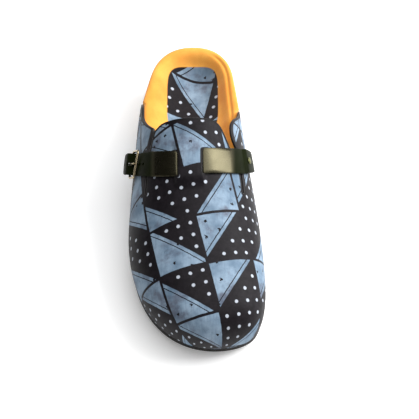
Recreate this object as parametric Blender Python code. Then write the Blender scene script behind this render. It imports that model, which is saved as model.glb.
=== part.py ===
"""Cork footbed clog for the right foot: a closed toe mule with a slotted instep strap.

An outsole carries a cork footbed with a suede lining. The printed upper is one hollow wall, lasted round
the front of the cork. Two slits part its tongue from its side wings, and the strap bridges them: it is
riveted on the inner wing, dips under the tongue through two slots and ends in a buckle on the outer wing.

Sizes are millimetres, and meshes are written in metres. A station is a distance from the back of the
heel towards the toe, side positions are positive towards the big toe, and heights start at the floor.
"""

import collections
import functools
import math

import bmesh
import bpy
import numpy as np
from mathutils import Matrix, Vector

MM = 0.001
MEDIAL, LATERAL = "medial", "lateral"

# Driving sizes of the whole clog
LENGTH = 255.0
ORIGIN_STATION = 127.5
ORIGIN_SIDE = -0.5
JOINT_GAP = 0.4

# Plan outline of the widest line of the clog, round from the heel: side, station
OUTLINE = (
    (0.0, 0.0),
    (17.8, 4.8),
    (27.2, 15.0),
    (32.3, 34.0),
    (35.8, 60.0),
    (39.4, 90.0),
    (44.8, 128.0),
    (49.6, 166.0),
    (52.2, 205.0),
    (50.8, 229.0),
    (43.4, 245.6),
    (29.5, 253.0),
    (14.0, LENGTH),
    (-2.5, 252.0),
    (-18.0, 243.4),
    (-32.6, 227.0),
    (-43.2, 203.5),
    (-47.9, 178.0),
    (-48.0, 155.0),
    (-46.4, 122.0),
    (-44.4, 90.0),
    (-41.4, 60.0),
    (-35.6, 34.0),
    (-28.8, 15.0),
    (-18.8, 4.8),
)
OUTLINE_SAMPLES = 1200

# Sections of the last: station, crest height, crest side, height of the widest line, shoulder fullness
SECTIONS = (
    (0.0, 108.0, 0.0, 34.0, -0.05),
    (60.0, 104.0, 0.0, 33.0, -0.05),
    (90.0, 97.0, 0.0, 30.0, -0.05),
    (106.0, 92.0, 0.0, 28.0, -0.04),
    (140.0, 80.0, 0.0, 26.0, 0.0),
    (170.0, 68.5, 2.0, 25.0, 0.05),
    (195.0, 60.0, 6.0, 24.0, 0.1),
    (215.0, 54.5, 9.5, 23.5, 0.14),
    (228.0, 51.0, 12.0, 23.0, 0.16),
    (LENGTH, 44.0, 14.0, 22.5, 0.16),
)

# The crest line runs between these stations, and the ends of the plan fan round its two ends
CREST_HEEL, FAN_HEEL, FAN_TOE, CREST_TOE = 31.0, 46.0, 190.0, 229.0
HEEL_COLUMNS, SIDE_COLUMNS, TOE_COLUMNS = 9, 16, 12
# Slopes of the upper's face are read over this step, in millimetres of station or degrees
SLOPE_STEP = 0.5

# Outsole
SOLE_THICKNESS, SOLE_TOE_THICKNESS = 8.0, 6.0
TOE_SPRING, TOE_SPRING_START = 6.0, 196.0
HEEL_LIFT, HEEL_LIFT_END = 1.6, 12.0
ARCH_RISE, ARCH_START, ARCH_END = 1.8, 84.0, 130.0
SOLE_EDGE_INSET, SOLE_FOOT_INSET = 1.6, 4.4
SOLE_RIB = 0.8
# Side of the sole above its foot: part of the way up, and depth there in ribs
SOLE_SIDE = ((0.25, 1.0), (0.45, 0.0), (0.6, 0.0), (0.7, 1.0), (0.8, 0.0), (1.0, 0.0))
TREAD_DEPTH, TREAD_WIDTH, TREAD_PITCH = 1.6, 3.0, 11.5
TREAD_BOW, TREAD_SEGMENTS, TREAD_REACH, TREAD_BELOW = 7.0, 6, 60.0, 2.0
# Section of a tread groove: distance from its middle in widths, and height
TREAD_SECTION = ((-0.5, -TREAD_BELOW), (0.5, -TREAD_BELOW), (0.3, TREAD_DEPTH), (-0.3, TREAD_DEPTH))
TREAD_HEEL_START, TREAD_HEEL_END = 17.0, 75.0
TREAD_BALL_START, TREAD_BALL_END = 142.0, 206.0

# Footbed: station, height of the bed, height of the lateral rim, height of the medial rim
FOOTBED = (
    (0.0, 29.0, 46.0, 46.0),
    (30.0, 27.5, 43.5, 43.5),
    (60.0, 27.0, 40.5, 41.5),
    (90.0, 26.5, 37.0, 41.5),
    (120.0, 25.0, 33.0, 38.0),
    (150.0, 23.0, 30.0, 32.0),
    (185.0, 21.0, 28.0, 28.5),
    (208.0, 23.0, 28.0, 28.5),
    (230.0, 22.5, 28.5, 28.5),
    (LENGTH, 24.0, 29.0, 29.0),
)
RIM_WIDTH, RIM_ROUND = 6.0, 1.8
# Section over the edge of the rim: distance in from the edge and drop from the top, in rim rounds
RIM_SECTION = ((0.0, 1.0), (0.45, 0.3), (1.4, 0.0))
RIM_INNER_DROP = 0.7
CUP_POWER = 2.4
CUP_STEPS = (0.2, 0.45, 0.72)
LINING_THICKNESS = 1.5
CORK_FOOT_TAPER = 2.2
# Side of the cork: part of the way up from its foot to its rim, and its clearance to the hem, in walls
CORK_SIDE = ((0.0, 1.0), (0.2, 0.8), (0.5, 0.0))
SEAT_RUN, CUP_RUN = 4.5, 40.0

# Upper: its wall, the share of it that a level cut through its lean measures, the tuck of the hem
# and the stations of the back edges of the wings
WALL = 2.0
WALL_LEVEL_SHARE = 1.06
HEM_TUCK = 2.4
UPPER_BACK = {LATERAL: 54.0, MEDIAL: 61.0}
UPPER_BACK_EVEN = 100.0
HEM_ANGLES = (-90.0, -55.0, -25.0)
VAMP_ANGLES = (0.0, 9.0, 18.0, 27.0, 36.0, 45.0, 54.0, 63.0, 72.0, 81.0, 90.0)

# Tongue, slits and strap are cut square to the instep, along a line that leans this far from level.
# A rise is a distance across that line, growing from the heel towards the toe.
INSTEP_LEAN = math.radians(57.0)
CUT_REACH = 230.0

# Edge of the lateral wing up to the tongue: side, rise
LATERAL_WING_EDGE = (
    (-70.0, 20.0),
    (-42.0, 22.0),
    (-39.6, 26.0),
    (-38.8, 32.5),
    (-37.2, 39.6),
    (-33.6, 43.6),
    (-30.4, 45.6),
)
# Edge of the tongue, from the lateral slit to the medial one: side, rise
TONGUE_EDGE = (
    (-28.2, 47.4),
    (-23.9, 43.4),
    (-19.2, 41.5),
    (-14.6, 40.4),
    (-6.8, 39.4),
    (1.0, 39.2),
    (8.6, 39.5),
    (14.8, 40.9),
    (19.2, 44.2),
    (21.6, 48.0),
    (24.8, 55.0),
    (28.0, 63.0),
    (34.9, 81.0),
)
# Edge of the medial wing, from the slit back: side, rise
MEDIAL_WING_EDGE = (
    (35.3, 81.0),
    (32.4, 63.0),
    (29.2, 55.4),
    (27.6, 48.0),
    (27.8, 43.6),
    (30.0, 39.2),
    (34.0, 35.6),
    (35.6, 30.0),
    (37.5, 27.6),
    (70.0, 26.0),
)
# Middles of the two slits, throat to front end: side, rise
LATERAL_SLIT = ((-28.4, 44.0), (-31.0, 53.8), (-32.8, 62.0), (-34.3, 80.0), (-35.2, 95.0))
MEDIAL_SLIT = ((33.2, 73.0), (35.2, 81.0), (36.2, 88.0), (36.6, 94.0))
SLIT_WIDTH = 1.5
EDGE_STEPS = 3

# Strap
STRAP_RISE, STRAP_SHIFT, STRAP_SHIFT_SIDES = 72.15, 2.3, (-18.0, 14.0)
STRAP_WIDTH, STRAP_THICKNESS, STRAP_LIFT = 18.6, 1.6, 0.5
STRAP_TAPER, STRAP_TAPER_RUN = 0.8, 14.0
STRAP_TIP_TAPER = {LATERAL: 0.8, MEDIAL: 2.2}
STRAP_FOLD_THICKNESS, STRAP_FOLD_RUN = 3.4, 2.0
STRAP_MEDIAL_END, STRAP_MEDIAL_FOLD = 34.0, 62.0
STRAP_LATERAL_END = 40.0
STRAP_CORNER = 4.0
STRAP_STEP, STRAP_TIP_STEP = 3.0, 1.0
STRAP_FIRST_GUESS, STRAP_LINE_STEPS = (130.0, 120.0), 46
SEARCH_STEPS, SEARCH_PRECISION = 12, 1e-5
BRIDGE_LATERAL, BRIDGE_MEDIAL = -11.5, 6.5
SLOT_WIDTH, SLOT_END_CLEARANCE = 4.0, 0.7
DIP_START, DIP_END, DIP_STEP = 3.4, 0.6, 0.7

# Buckle on the lateral wing, and the rivet on the medial wing
UPPER_BAR_HEIGHT, LOWER_BAR_HEIGHT = 58.0, 47.5
BAR_RADIUS, BAR_STRAP_GAP = 0.9, 0.6
FRAME_CORNER, FRAME_CORNER_STEPS, FRAME_CLEARANCE = 2.0, 4, 0.6
TAB_WIDTH, TAB_THICKNESS, TAB_LOW_END, TAB_LOOP_TRIM = 13.0, 1.4, 26.0, 0.02
PRONG_RADIUS, PRONG_STEPS, PRONG_GAP = 0.7, 6, 2.4
PRONG_SLOT_WIDTH, PRONG_SLOT_SHARES, PRONG_SLOT_DEPTHS = 2.2, (0.21, 0.7), (-2.0, 12.0)
RIVET_HEIGHT, RIVET_RADIUS, RIVET_DOME, RIVET_EDGE_SHARE = 57.5, 2.6, 1.0, 0.25
RIVET_TURNS = (25.0, 50.0, 75.0)
ROUND_SIDES = 10

# Meshes: the angles past which an edge stays sharp, and the distance in metres at which points merge
SMOOTH_ANGLE, TUBE_SMOOTH_ANGLE = math.radians(40.0), math.radians(60.0)
MERGE_DISTANCE = 1e-6

# Colours: name, red, green, blue, roughness, metallic
FINISHES = (
    ("rubber", 0.02, 0.018, 0.017, 0.8, 0.0),
    ("cork", 0.45, 0.28, 0.14, 0.85, 0.0),
    ("suede", 0.85, 0.42, 0.08, 0.9, 0.0),
    ("printed_leather", 0.18, 0.22, 0.27, 0.5, 0.0),
    ("metallic_leather", 0.22, 0.19, 0.1, 0.32, 0.8),
    ("dark_metal", 0.3, 0.26, 0.16, 0.25, 1.0),
)


# Curves and tables

def natural_spline(xs, ys):
    """Smooth curve through a table's rows, as a function of the first column."""
    xs = np.asarray(xs, float)
    ys = np.asarray(ys, float)
    gaps = np.diff(xs)
    count = len(xs)
    matrix = np.eye(count)
    right = np.zeros(count)
    for i in range(1, count - 1):
        matrix[i, i - 1:i + 2] = gaps[i - 1], 2 * (gaps[i - 1] + gaps[i]), gaps[i]
        right[i] = 6 * ((ys[i + 1] - ys[i]) / gaps[i] - (ys[i] - ys[i - 1]) / gaps[i - 1])
    bends = np.linalg.solve(matrix, right)

    def curve(x):
        i = int(np.clip(np.searchsorted(xs, x) - 1, 0, count - 2))
        step = x - xs[i]
        slope = (ys[i + 1] - ys[i]) / gaps[i] - gaps[i] * (2 * bends[i] + bends[i + 1]) / 6
        cubic = (bends[i + 1] - bends[i]) / (6 * gaps[i])
        return ys[i] + step * (slope + step * (bends[i] / 2 + step * cubic))

    return curve


def table_curve(table, column):
    return natural_spline([row[0] for row in table], [row[column] for row in table])


def plan_curve(points, steps):
    """Smooth open curve through plan points, with a number of steps between each pair."""
    knots = np.concatenate([[0.0], np.cumsum(np.linalg.norm(np.diff(points, axis=0), axis=1))])
    across = natural_spline(knots, [p[0] for p in points])
    along = natural_spline(knots, [p[1] for p in points])
    marks = np.interp(np.arange((len(points) - 1) * steps + 1) / steps, range(len(points)), knots)
    return [(across(m), along(m)) for m in marks]


def smooth_step(start, end, value):
    part = min(max((value - start) / (end - start), 0.0), 1.0)
    return part * part * (3 - 2 * part)


def outline_runs():
    """Heel to toe runs of the plan outline: side, station and length along the run, by side."""
    lap = len(OUTLINE)
    wrapped = plan_curve([OUTLINE[i % lap] for i in range(-lap, 2 * lap + 1)], OUTLINE_SAMPLES // lap)
    ring = np.array(wrapped[lap * (OUTLINE_SAMPLES // lap):2 * lap * (OUTLINE_SAMPLES // lap)])
    ring = np.roll(ring, -int(np.argmin(ring[:, 1])), axis=0)
    toe = int(np.argmax(ring[:, 1]))
    sides = {MEDIAL: ring[:toe + 1], LATERAL: np.vstack([ring[toe:], ring[:1]])[::-1]}
    runs = {}
    for name, run in sides.items():
        lengths = np.concatenate([[0.0], np.cumsum(np.linalg.norm(np.diff(run, axis=0), axis=1))])
        runs[name] = (run[:, 0], run[:, 1], lengths)
    return runs


RUNS = outline_runs()
crest_height = table_curve(SECTIONS, 1)
crest_side = table_curve(SECTIONS, 2)
widest_height = table_curve(SECTIONS, 3)
fullness = table_curve(SECTIONS, 4)
bed_height = table_curve(FOOTBED, 1)
rim_height = {LATERAL: table_curve(FOOTBED, 2), MEDIAL: table_curve(FOOTBED, 3)}


# The last: plan columns, and the upper's outer face

def fan(side, start, end_length, reach):
    """Length along the outline at the start of a fan, its rate there and how fast it spreads."""
    _, stations, lengths = RUNS[side]
    first = np.interp(start, stations, lengths)
    rate = np.interp(start + 1, stations, lengths) - first
    spread = (abs(end_length - first) - rate * reach) / reach ** 2
    return first, rate, spread


def outline_point(side, station):
    """Plan point of the outline that pairs with a station of the crest line."""
    across, stations, lengths = RUNS[side]
    if station > FAN_TOE:
        first, rate, spread = fan(side, FAN_TOE, lengths[-1], CREST_TOE - FAN_TOE)
        step = station - FAN_TOE
        length = first + rate * step + spread * step ** 2
    elif station < FAN_HEEL:
        first, rate, spread = fan(side, FAN_HEEL, 0.0, FAN_HEEL - CREST_HEEL)
        step = FAN_HEEL - station
        length = first - rate * step - spread * step ** 2
    else:
        length = np.interp(station, stations, lengths)
    return np.interp(length, lengths, across), np.interp(length, lengths, stations)


def fan_stations(start, reach, end_length, count):
    """Crest stations whose outline points lie evenly round a fan, past its start."""
    first, rate, spread = fan(MEDIAL, start, end_length, abs(reach))
    total = rate * abs(reach) + spread * reach ** 2
    steps = []
    for i in range(1, count + 1):
        root = math.sqrt(rate ** 2 + 4 * spread * total * i / count)
        steps.append(start + math.copysign((root - rate) / (2 * spread), reach))
    return steps


def crest_stations(first):
    """Stations of the columns, from the back end of the crest line or from a station on its side."""
    side_run = list(np.linspace(max(first, FAN_HEEL), FAN_TOE, SIDE_COLUMNS))
    toe_run = fan_stations(FAN_TOE, CREST_TOE - FAN_TOE, RUNS[MEDIAL][2][-1], TOE_COLUMNS)
    if first >= FAN_HEEL:
        return side_run + toe_run
    heel_run = fan_stations(FAN_HEEL, CREST_HEEL - FAN_HEEL, 0.0, HEEL_COLUMNS)
    seats = [back - JOINT_GAP - step for back in UPPER_BACK.values() for step in (0.0, SEAT_RUN)]
    return heel_run[::-1] + sorted(side_run + seats) + toe_run


def plan_column(side, station):
    """A column of the plan: its outline point, the way in to the crest line and its reach."""
    edge = np.array(outline_point(side, station))
    inward = np.array((crest_side(station), station)) - edge
    reach = float(np.linalg.norm(inward))
    return edge, inward / reach, reach


def hem_height(station):
    return sole_top(station) + JOINT_GAP


def upper_point(side, station, angle):
    """Point of the upper's outer face: hem at -90 degrees, widest line at 0 and crest at 90."""
    edge, inward, reach = plan_column(side, station)
    turn = math.radians(angle)
    widest = widest_height(edge[1])
    if angle < 0:
        inset = HEM_TUCK * (1 - math.cos(turn))
        height = widest + (widest - hem_height(edge[1])) * math.sin(turn)
    else:
        out = math.cos(turn)
        inset = reach * (1 - out)
        swell = math.sin(turn) * (1 + fullness(station) * out ** 2)
        height = widest + (crest_height(station) - widest) * swell
        height += crest_tilt(station, inward) * reach * out * (1 - out) ** 2
    plan = edge + inward * inset
    return np.array((plan[0], plan[1], height))


def crest_tilt(station, inward):
    """Slope of the upper at the crest line, outwards along a column, so that it follows the crest."""
    before, after = station - SLOPE_STEP, station + SLOPE_STEP
    run = np.array((crest_side(after) - crest_side(before), after - before))
    fall = crest_height(after) - crest_height(before)
    return -(inward @ run) * fall / (run @ run)


def wall_inset(station, edge_station, reach, height):
    """How far the upper's outer face lies inside the outline at a height."""
    widest = widest_height(edge_station)
    if height < widest:
        part = min((widest - height) / (widest - hem_height(edge_station)), 1.0)
        return HEM_TUCK * (1 - math.sqrt(1 - part ** 2))
    part = min((height - widest) / (crest_height(station) - widest), 1.0)
    return reach * (1 - math.sqrt(1 - part ** 2))


# Heights of the sole

def sole_bottom(station):
    height = HEEL_LIFT * max(1 - station / HEEL_LIFT_END, 0.0) ** 2
    if ARCH_START < station < ARCH_END:
        height += ARCH_RISE * math.sin(math.pi * (station - ARCH_START) / (ARCH_END - ARCH_START)) ** 2
    return height + TOE_SPRING * toe_part(station)


def sole_top(station):
    return SOLE_THICKNESS + (TOE_SPRING + SOLE_TOE_THICKNESS - SOLE_THICKNESS) * toe_part(station)


def toe_part(station):
    return max((station - TOE_SPRING_START) / (LENGTH - TOE_SPRING_START), 0.0) ** 2


# Meshes

def to_frame(point):
    """From side, station and height in millimetres to the model's metres, toe towards -Y."""
    return Vector(((point[0] - ORIGIN_SIDE) * MM, (ORIGIN_STATION - point[1]) * MM, point[2] * MM))


def finish_material(name):
    material = bpy.data.materials.get(name)
    if material is None:
        row = next(r for r in FINISHES if r[0] == name)
        material = bpy.data.materials.new(name)
        material.use_nodes = True
        shader = material.node_tree.nodes["Principled BSDF"]
        shader.inputs["Base Color"].default_value = (*row[1:4], 1.0)
        shader.inputs["Roughness"].default_value = row[4]
        shader.inputs["Metallic"].default_value = row[5]
        material.diffuse_color = (*row[1:4], 1.0)
    return material


def mesh_object(name, points, faces, finish=None, smooth_angle=SMOOTH_ANGLE):
    """Object of a mesh given in millimetres, with its faces turned out."""
    mesh = bpy.data.meshes.new(name)
    mesh.from_pydata([to_frame(p) for p in points], [], faces)
    shape = bmesh.new()
    shape.from_mesh(mesh)
    bmesh.ops.recalc_face_normals(shape, faces=shape.faces)
    shape.to_mesh(mesh)
    shape.free()
    obj = bpy.data.objects.new(name, mesh)
    bpy.context.scene.collection.objects.link(obj)
    if finish is None:
        obj.hide_render = True
        obj.display_type = "WIRE"
    else:
        mesh.materials.append(finish_material(finish))
        mesh.shade_smooth()
        mesh.set_sharp_from_angle(angle=smooth_angle)
    return obj


def boolean(obj, tool, operation="DIFFERENCE", solver="EXACT"):
    modifier = obj.modifiers.new(tool.name, "BOOLEAN")
    modifier.operation = operation
    modifier.object = tool
    modifier.solver = solver


def sleeve_faces(rings, sides, closed=False):
    """Faces of a sleeve through rings of points, closed on itself or with flat ends."""
    faces = []
    for i in range(rings if closed else rings - 1):
        j = (i + 1) % rings
        for k in range(sides):
            n = (k + 1) % sides
            faces.append([i * sides + k, i * sides + n, j * sides + n, j * sides + k])
    if not closed:
        faces.append(list(range(sides))[::-1])
        faces.append([(rings - 1) * sides + k for k in range(sides)])
    return faces


def loft_round_crest(name, profile, finish):
    """Closed solid from profiles round the outline, each from the crest line's underside to its top.

    A profile is a list of inset and height pairs, where no inset means a point on the crest line.
    """
    stations = crest_stations(CREST_HEEL)
    last = len(stations) - 1
    order = [(MEDIAL, i) for i in range(last + 1)] + [(LATERAL, i) for i in range(last - 1, 0, -1)]
    points, index, columns = [], {}, []
    for side, i in order:
        edge, inward, reach = plan_column(side, stations[i])
        column = []
        for k, (inset, height) in enumerate(profile(side, stations[i], edge[1], reach)):
            plan = edge + inward * (reach if inset is None else inset)
            key = ("crest", i, k) if inset is None else (side, i, k)
            if key not in index:
                index[key] = len(points)
                points.append((plan[0], plan[1], height))
            column.append(index[key])
        columns.append(column)
    faces = []
    for left, right in zip(columns, columns[1:] + columns[:1]):
        for k in range(len(left) - 1):
            corners = (left[k], left[k + 1], right[k + 1], right[k])
            faces.append([c for j, c in enumerate(corners) if c not in corners[:j]])
    return mesh_object(name, points, faces, finish)


def prism_cutter(name, outline):
    """Cutter with a side and rise outline, running square through the instep."""
    lean = (math.sin(INSTEP_LEAN), math.cos(INSTEP_LEAN))
    points = []
    for depth in (0.0, CUT_REACH):
        for side, rise in outline:
            points.append((side, rise * lean[0] + depth * lean[1], depth * lean[0] - rise * lean[1]))
    return mesh_object(name, points, sleeve_faces(2, len(outline)))


# Sole and footbed

def outsole_profile(side, station, edge_station, reach):
    bottom = sole_bottom(edge_station)
    top = sole_top(edge_station)
    rows = [(None, sole_bottom(station)), (SOLE_FOOT_INSET, bottom)]
    for part, ribs in SOLE_SIDE:
        rows.append((SOLE_EDGE_INSET + ribs * SOLE_RIB, bottom + part * (top - bottom)))
    rows.append((None, sole_top(station)))
    return rows


def tread_cutter(name, station):
    """Bowed groove across the underside of the sole."""
    points = []
    for i in range(TREAD_SEGMENTS + 1):
        side = TREAD_REACH * (2 * i / TREAD_SEGMENTS - 1)
        middle = station + TREAD_BOW * (1 - (side / TREAD_REACH) ** 2)
        for offset, height in TREAD_SECTION:
            points.append((side, middle + offset * TREAD_WIDTH, height))
    return mesh_object(name, points, sleeve_faces(TREAD_SEGMENTS + 1, len(TREAD_SECTION)))


def build_outsole():
    sole = loft_round_crest("outsole", outsole_profile, "rubber")
    grooves = list(np.arange(TREAD_HEEL_START, TREAD_HEEL_END, TREAD_PITCH))
    grooves += list(np.arange(TREAD_BALL_START, TREAD_BALL_END, TREAD_PITCH))
    for i, station in enumerate(grooves):
        boolean(sole, tread_cutter(f"tread_groove_{i}", station))
    return sole


def seat_part(side, edge_station, run=SEAT_RUN):
    """How far the footbed's edge has gone from the outline, at the heel, to inside the upper's wall."""
    end = UPPER_BACK[side] - JOINT_GAP
    return smooth_step(end - run, end, edge_station)


def inside_wall(station, edge_station, reach, height):
    """Inset of the footbed's edge where the upper wraps it."""
    return wall_inset(station, edge_station, reach, height) + WALL_LEVEL_SHARE * WALL + JOINT_GAP


def bed_profile(side, station, edge_station, reach, drop):
    """Top of the footbed from its rim to the crest line, lowered by a drop."""
    rim = rim_height[side](edge_station) - drop
    bed = bed_height(station) - drop
    seat = inside_wall(station, edge_station, reach, rim + drop)
    edge = seat_part(side, edge_station) * seat
    inner = seat_part(side, edge_station, CUP_RUN) * seat + RIM_WIDTH
    inner_height = rim - RIM_INNER_DROP * RIM_ROUND
    rows = [(edge + inset * RIM_ROUND, rim - fall * RIM_ROUND) for inset, fall in RIM_SECTION]
    rows.append((inner, inner_height))
    for part in CUP_STEPS:
        inset = inner + part * (reach - inner)
        rows.append((inset, bed + (inner_height - bed) * (1 - part) ** CUP_POWER))
    rows.append((None, bed))
    return rows


def cork_profile(side, station, edge_station, reach):
    top = bed_profile(side, station, edge_station, reach, LINING_THICKNESS + JOINT_GAP)
    seated = seat_part(side, edge_station)
    base = hem_height(edge_station)
    rim = top[0][1]
    rows = [(None, hem_height(station))]
    for part, hem_part in CORK_SIDE:
        height = base + part * (rim - base)
        foot = (1 - seated) * CORK_FOOT_TAPER * (1 - part) ** 2 + seated * hem_part * WALL
        rows.append((seated * inside_wall(station, edge_station, reach, height) + foot, height))
    return rows + top


def lining_profile(side, station, edge_station, reach):
    under = bed_profile(side, station, edge_station, reach, LINING_THICKNESS)
    over = bed_profile(side, station, edge_station, reach, 0.0)
    return under[::-1] + over


# Upper

def wing_station(side, station):
    """Station of a column on one side, moved so that each wing starts at its own back edge."""
    even = min((station - UPPER_BACK[LATERAL]) / (UPPER_BACK_EVEN - UPPER_BACK[LATERAL]), 1.0)
    return station + (1 - even) * (UPPER_BACK[side] - UPPER_BACK[LATERAL])


def build_upper():
    stations = crest_stations(UPPER_BACK[LATERAL])
    last = len(stations) - 1
    angles = HEM_ANGLES + VAMP_ANGLES
    order = [(MEDIAL, i) for i in range(last + 1)] + [(LATERAL, i) for i in range(last - 1, -1, -1)]
    points, index, columns = [], {}, []
    for side, i in order:
        column = []
        for angle in angles:
            key = ("crest", i) if angle == angles[-1] else (side, i, angle)
            if key not in index:
                index[key] = len(points)
                points.append(upper_point(side, wing_station(side, stations[i]), angle))
            column.append(index[key])
        columns.append(column)
    faces = []
    for left, right in zip(columns, columns[1:]):
        for k in range(len(angles) - 1):
            corners = (left[k], right[k], right[k + 1], left[k + 1])
            faces.append([c for j, c in enumerate(corners) if c not in corners[:j]])
    upper = mesh_object("upper", points, faces, "printed_leather")
    wall = upper.modifiers.new("wall", "SOLIDIFY")
    wall.thickness = WALL * MM
    wall.offset = -1.0
    wall.use_even_offset = True
    cuts = [throat_cutter()]
    for name, middle in (("lateral_slit", LATERAL_SLIT), ("medial_slit", MEDIAL_SLIT)):
        cuts.append(prism_cutter(name, ribbon_outline(plan_curve(middle, EDGE_STEPS), SLIT_WIDTH)))
    for name, near, far in strap_slots():
        cuts.append(prism_cutter(name, slot_outline(near, far)))
    for cut in cuts:
        boolean(upper, cut, solver="MANIFOLD")
    return upper


def throat_cutter():
    """Everything behind the tongue and between the wings."""
    outline = plan_curve(LATERAL_WING_EDGE, EDGE_STEPS)
    outline += plan_curve(TONGUE_EDGE, EDGE_STEPS)
    outline += plan_curve(MEDIAL_WING_EDGE, EDGE_STEPS)
    back = -CUT_REACH / 2
    outline += [(MEDIAL_WING_EDGE[-1][0], back), (LATERAL_WING_EDGE[0][0], back)]
    return prism_cutter("throat", outline)


def ribbon_outline(middle, width):
    """Outline of a narrow cut along a middle line."""
    left, right = [], []
    for i, (side, rise) in enumerate(middle):
        before = middle[max(i - 1, 0)]
        after = middle[min(i + 1, len(middle) - 1)]
        along = np.array((after[0] - before[0], after[1] - before[1]))
        along /= np.linalg.norm(along)
        left.append((side - along[1] * width / 2, rise + along[0] * width / 2))
        right.append((side + along[1] * width / 2, rise - along[0] * width / 2))
    return left + right[::-1]


def strap_slots():
    """The two slots beside the bridge of the tongue: name, edge at the bridge, edge away from it."""
    return (
        ("lateral_slot", BRIDGE_LATERAL, BRIDGE_LATERAL - SLOT_WIDTH),
        ("medial_slot", BRIDGE_MEDIAL, BRIDGE_MEDIAL + SLOT_WIDTH),
    )


def strap_middle(side):
    """Rise of the middle of the strap, which steps back on its way under the bridge of the tongue."""
    return STRAP_RISE + STRAP_SHIFT * (0.5 - smooth_step(*STRAP_SHIFT_SIDES, side))


def slot_outline(near, far):
    half = STRAP_WIDTH / 2 + SLOT_END_CLEARANCE
    outline = []
    for side, end in ((near, -half), (far, -half), (far, half), (near, half)):
        outline.append((side, strap_middle(side) + end))
    return outline


# Strap and buckle

def strap_miss(point, offset):
    """How far a point lies in front of a line that runs beside the middle of the strap."""
    rise = point[1] * math.sin(INSTEP_LEAN) - point[2] * math.cos(INSTEP_LEAN)
    return rise - strap_middle(point[0]) - offset


def surface_at_rise(side, angle, offset):
    """Point and outward normal of the upper's face on a line beside the middle of the strap."""
    station, before = STRAP_FIRST_GUESS
    miss_before = strap_miss(upper_point(side, before, angle), offset)
    for _ in range(SEARCH_STEPS):
        point = upper_point(side, station, angle)
        miss = strap_miss(point, offset)
        if abs(miss) < SEARCH_PRECISION:
            break
        rate = (station - before) / (miss - miss_before)
        before, miss_before = station, miss
        station -= rate * miss
    step = SLOPE_STEP
    along = upper_point(side, station + step, angle) - upper_point(side, station - step, angle)
    if angle < 90 - step:
        across = upper_point(side, station, angle + step) - upper_point(side, station, angle - step)
    else:
        across = point - upper_point(side, station, angle - step)
    normal = np.cross(along, across)
    if normal @ (point - np.array((crest_side(station), station, 0.0))) < 0:
        normal = -normal
    return point, normal / np.linalg.norm(normal)


@functools.lru_cache(maxsize=None)
def strap_line(side, offset):
    """Angles, points and lengths from the crest along a line beside the middle of the strap."""
    angles = np.linspace(90.0, 0.0, STRAP_LINE_STEPS)
    path = np.array([surface_at_rise(side, a, offset)[0] for a in angles])
    lengths = np.concatenate([[0.0], np.cumsum(np.linalg.norm(np.diff(path, axis=0), axis=1))])
    return angles, path, lengths


def length_at_height(side, height):
    """Length down the middle of the strap, from the crest to a height."""
    _, path, lengths = strap_line(side, 0.0)
    return float(np.interp(-height, -path[:, 2], lengths))


def length_at_side(side, distance):
    """Length down the middle of the strap, from the crest to a distance beside it."""
    _, path, lengths = strap_line(side, 0.0)
    return float(np.interp(abs(distance), np.abs(path[:, 0]), lengths))


def strap_point(side, length, offset):
    """Point and normal of the upper's face under the strap, at a length from the crest."""
    angles, _, lengths = strap_line(side, offset)
    return surface_at_rise(side, float(np.interp(length, lengths, angles)), offset)


def even_lengths(first, last, step):
    return [float(v) for v in np.linspace(first, last, int(round(abs(last - first) / step)) + 1)]


def band_solid(name, stops, half_width, layers, finish):
    """Closed band over the upper: stops of side and length, with its width and layers at each of them.

    Layers are the distances of the band's under and outer faces from the upper's face.
    """
    points = []
    for side, length in stops:
        middle = strap_point(side, length, 0.0)[0]
        half = half_width(side, middle)
        low, high = layers(side, middle)
        for depth, shares in ((low, (-1.0, 0.0, 1.0)), (high, (1.0, 0.0, -1.0))):
            for share in shares:
                point, normal = strap_point(side, length, share * half)
                points.append(point + normal * depth)
    return mesh_object(name, points, sleeve_faces(len(stops), len(points) // len(stops)), finish)


def strap_layers(side, point):
    """Distances of the strap's two faces from the upper's outer face."""
    dip = smooth_step(BRIDGE_LATERAL - DIP_START, BRIDGE_LATERAL - DIP_END, point[0])
    dip *= 1 - smooth_step(BRIDGE_MEDIAL + DIP_END, BRIDGE_MEDIAL + DIP_START, point[0])
    low = STRAP_LIFT - dip * (WALL + 2 * STRAP_LIFT + STRAP_THICKNESS)
    thickness = STRAP_THICKNESS
    if side == MEDIAL:
        fold = 1 - smooth_step(STRAP_MEDIAL_FOLD - STRAP_FOLD_RUN, STRAP_MEDIAL_FOLD, point[2])
        thickness += fold * (STRAP_FOLD_THICKNESS - STRAP_THICKNESS)
    else:
        margin = 2 * BAR_RADIUS
        over = 1 - smooth_step(LOWER_BAR_HEIGHT + margin, UPPER_BAR_HEIGHT - margin, point[2])
        low += over * (knuckle_top() + JOINT_GAP - STRAP_LIFT)
    return low, low + thickness


def strap_half_width(side, point):
    """Half the strap's width: narrower at the buckle and towards its two ends, with rounded corners."""
    if side == MEDIAL:
        start, end = STRAP_MEDIAL_FOLD, STRAP_MEDIAL_END
        taper = 0.0
    else:
        start, end = UPPER_BAR_HEIGHT, STRAP_LATERAL_END
        taper = STRAP_TAPER * smooth_step(start + STRAP_TAPER_RUN, start, point[2])
    taper += STRAP_TIP_TAPER[side] * min(max((start - point[2]) / (start - end), 0.0), 1.0)
    left = min(max((point[2] - end) / STRAP_CORNER, 0.0), 1.0)
    return STRAP_WIDTH / 2 - taper - STRAP_CORNER * (1 - math.sqrt(1 - (1 - left) ** 2))


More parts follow.
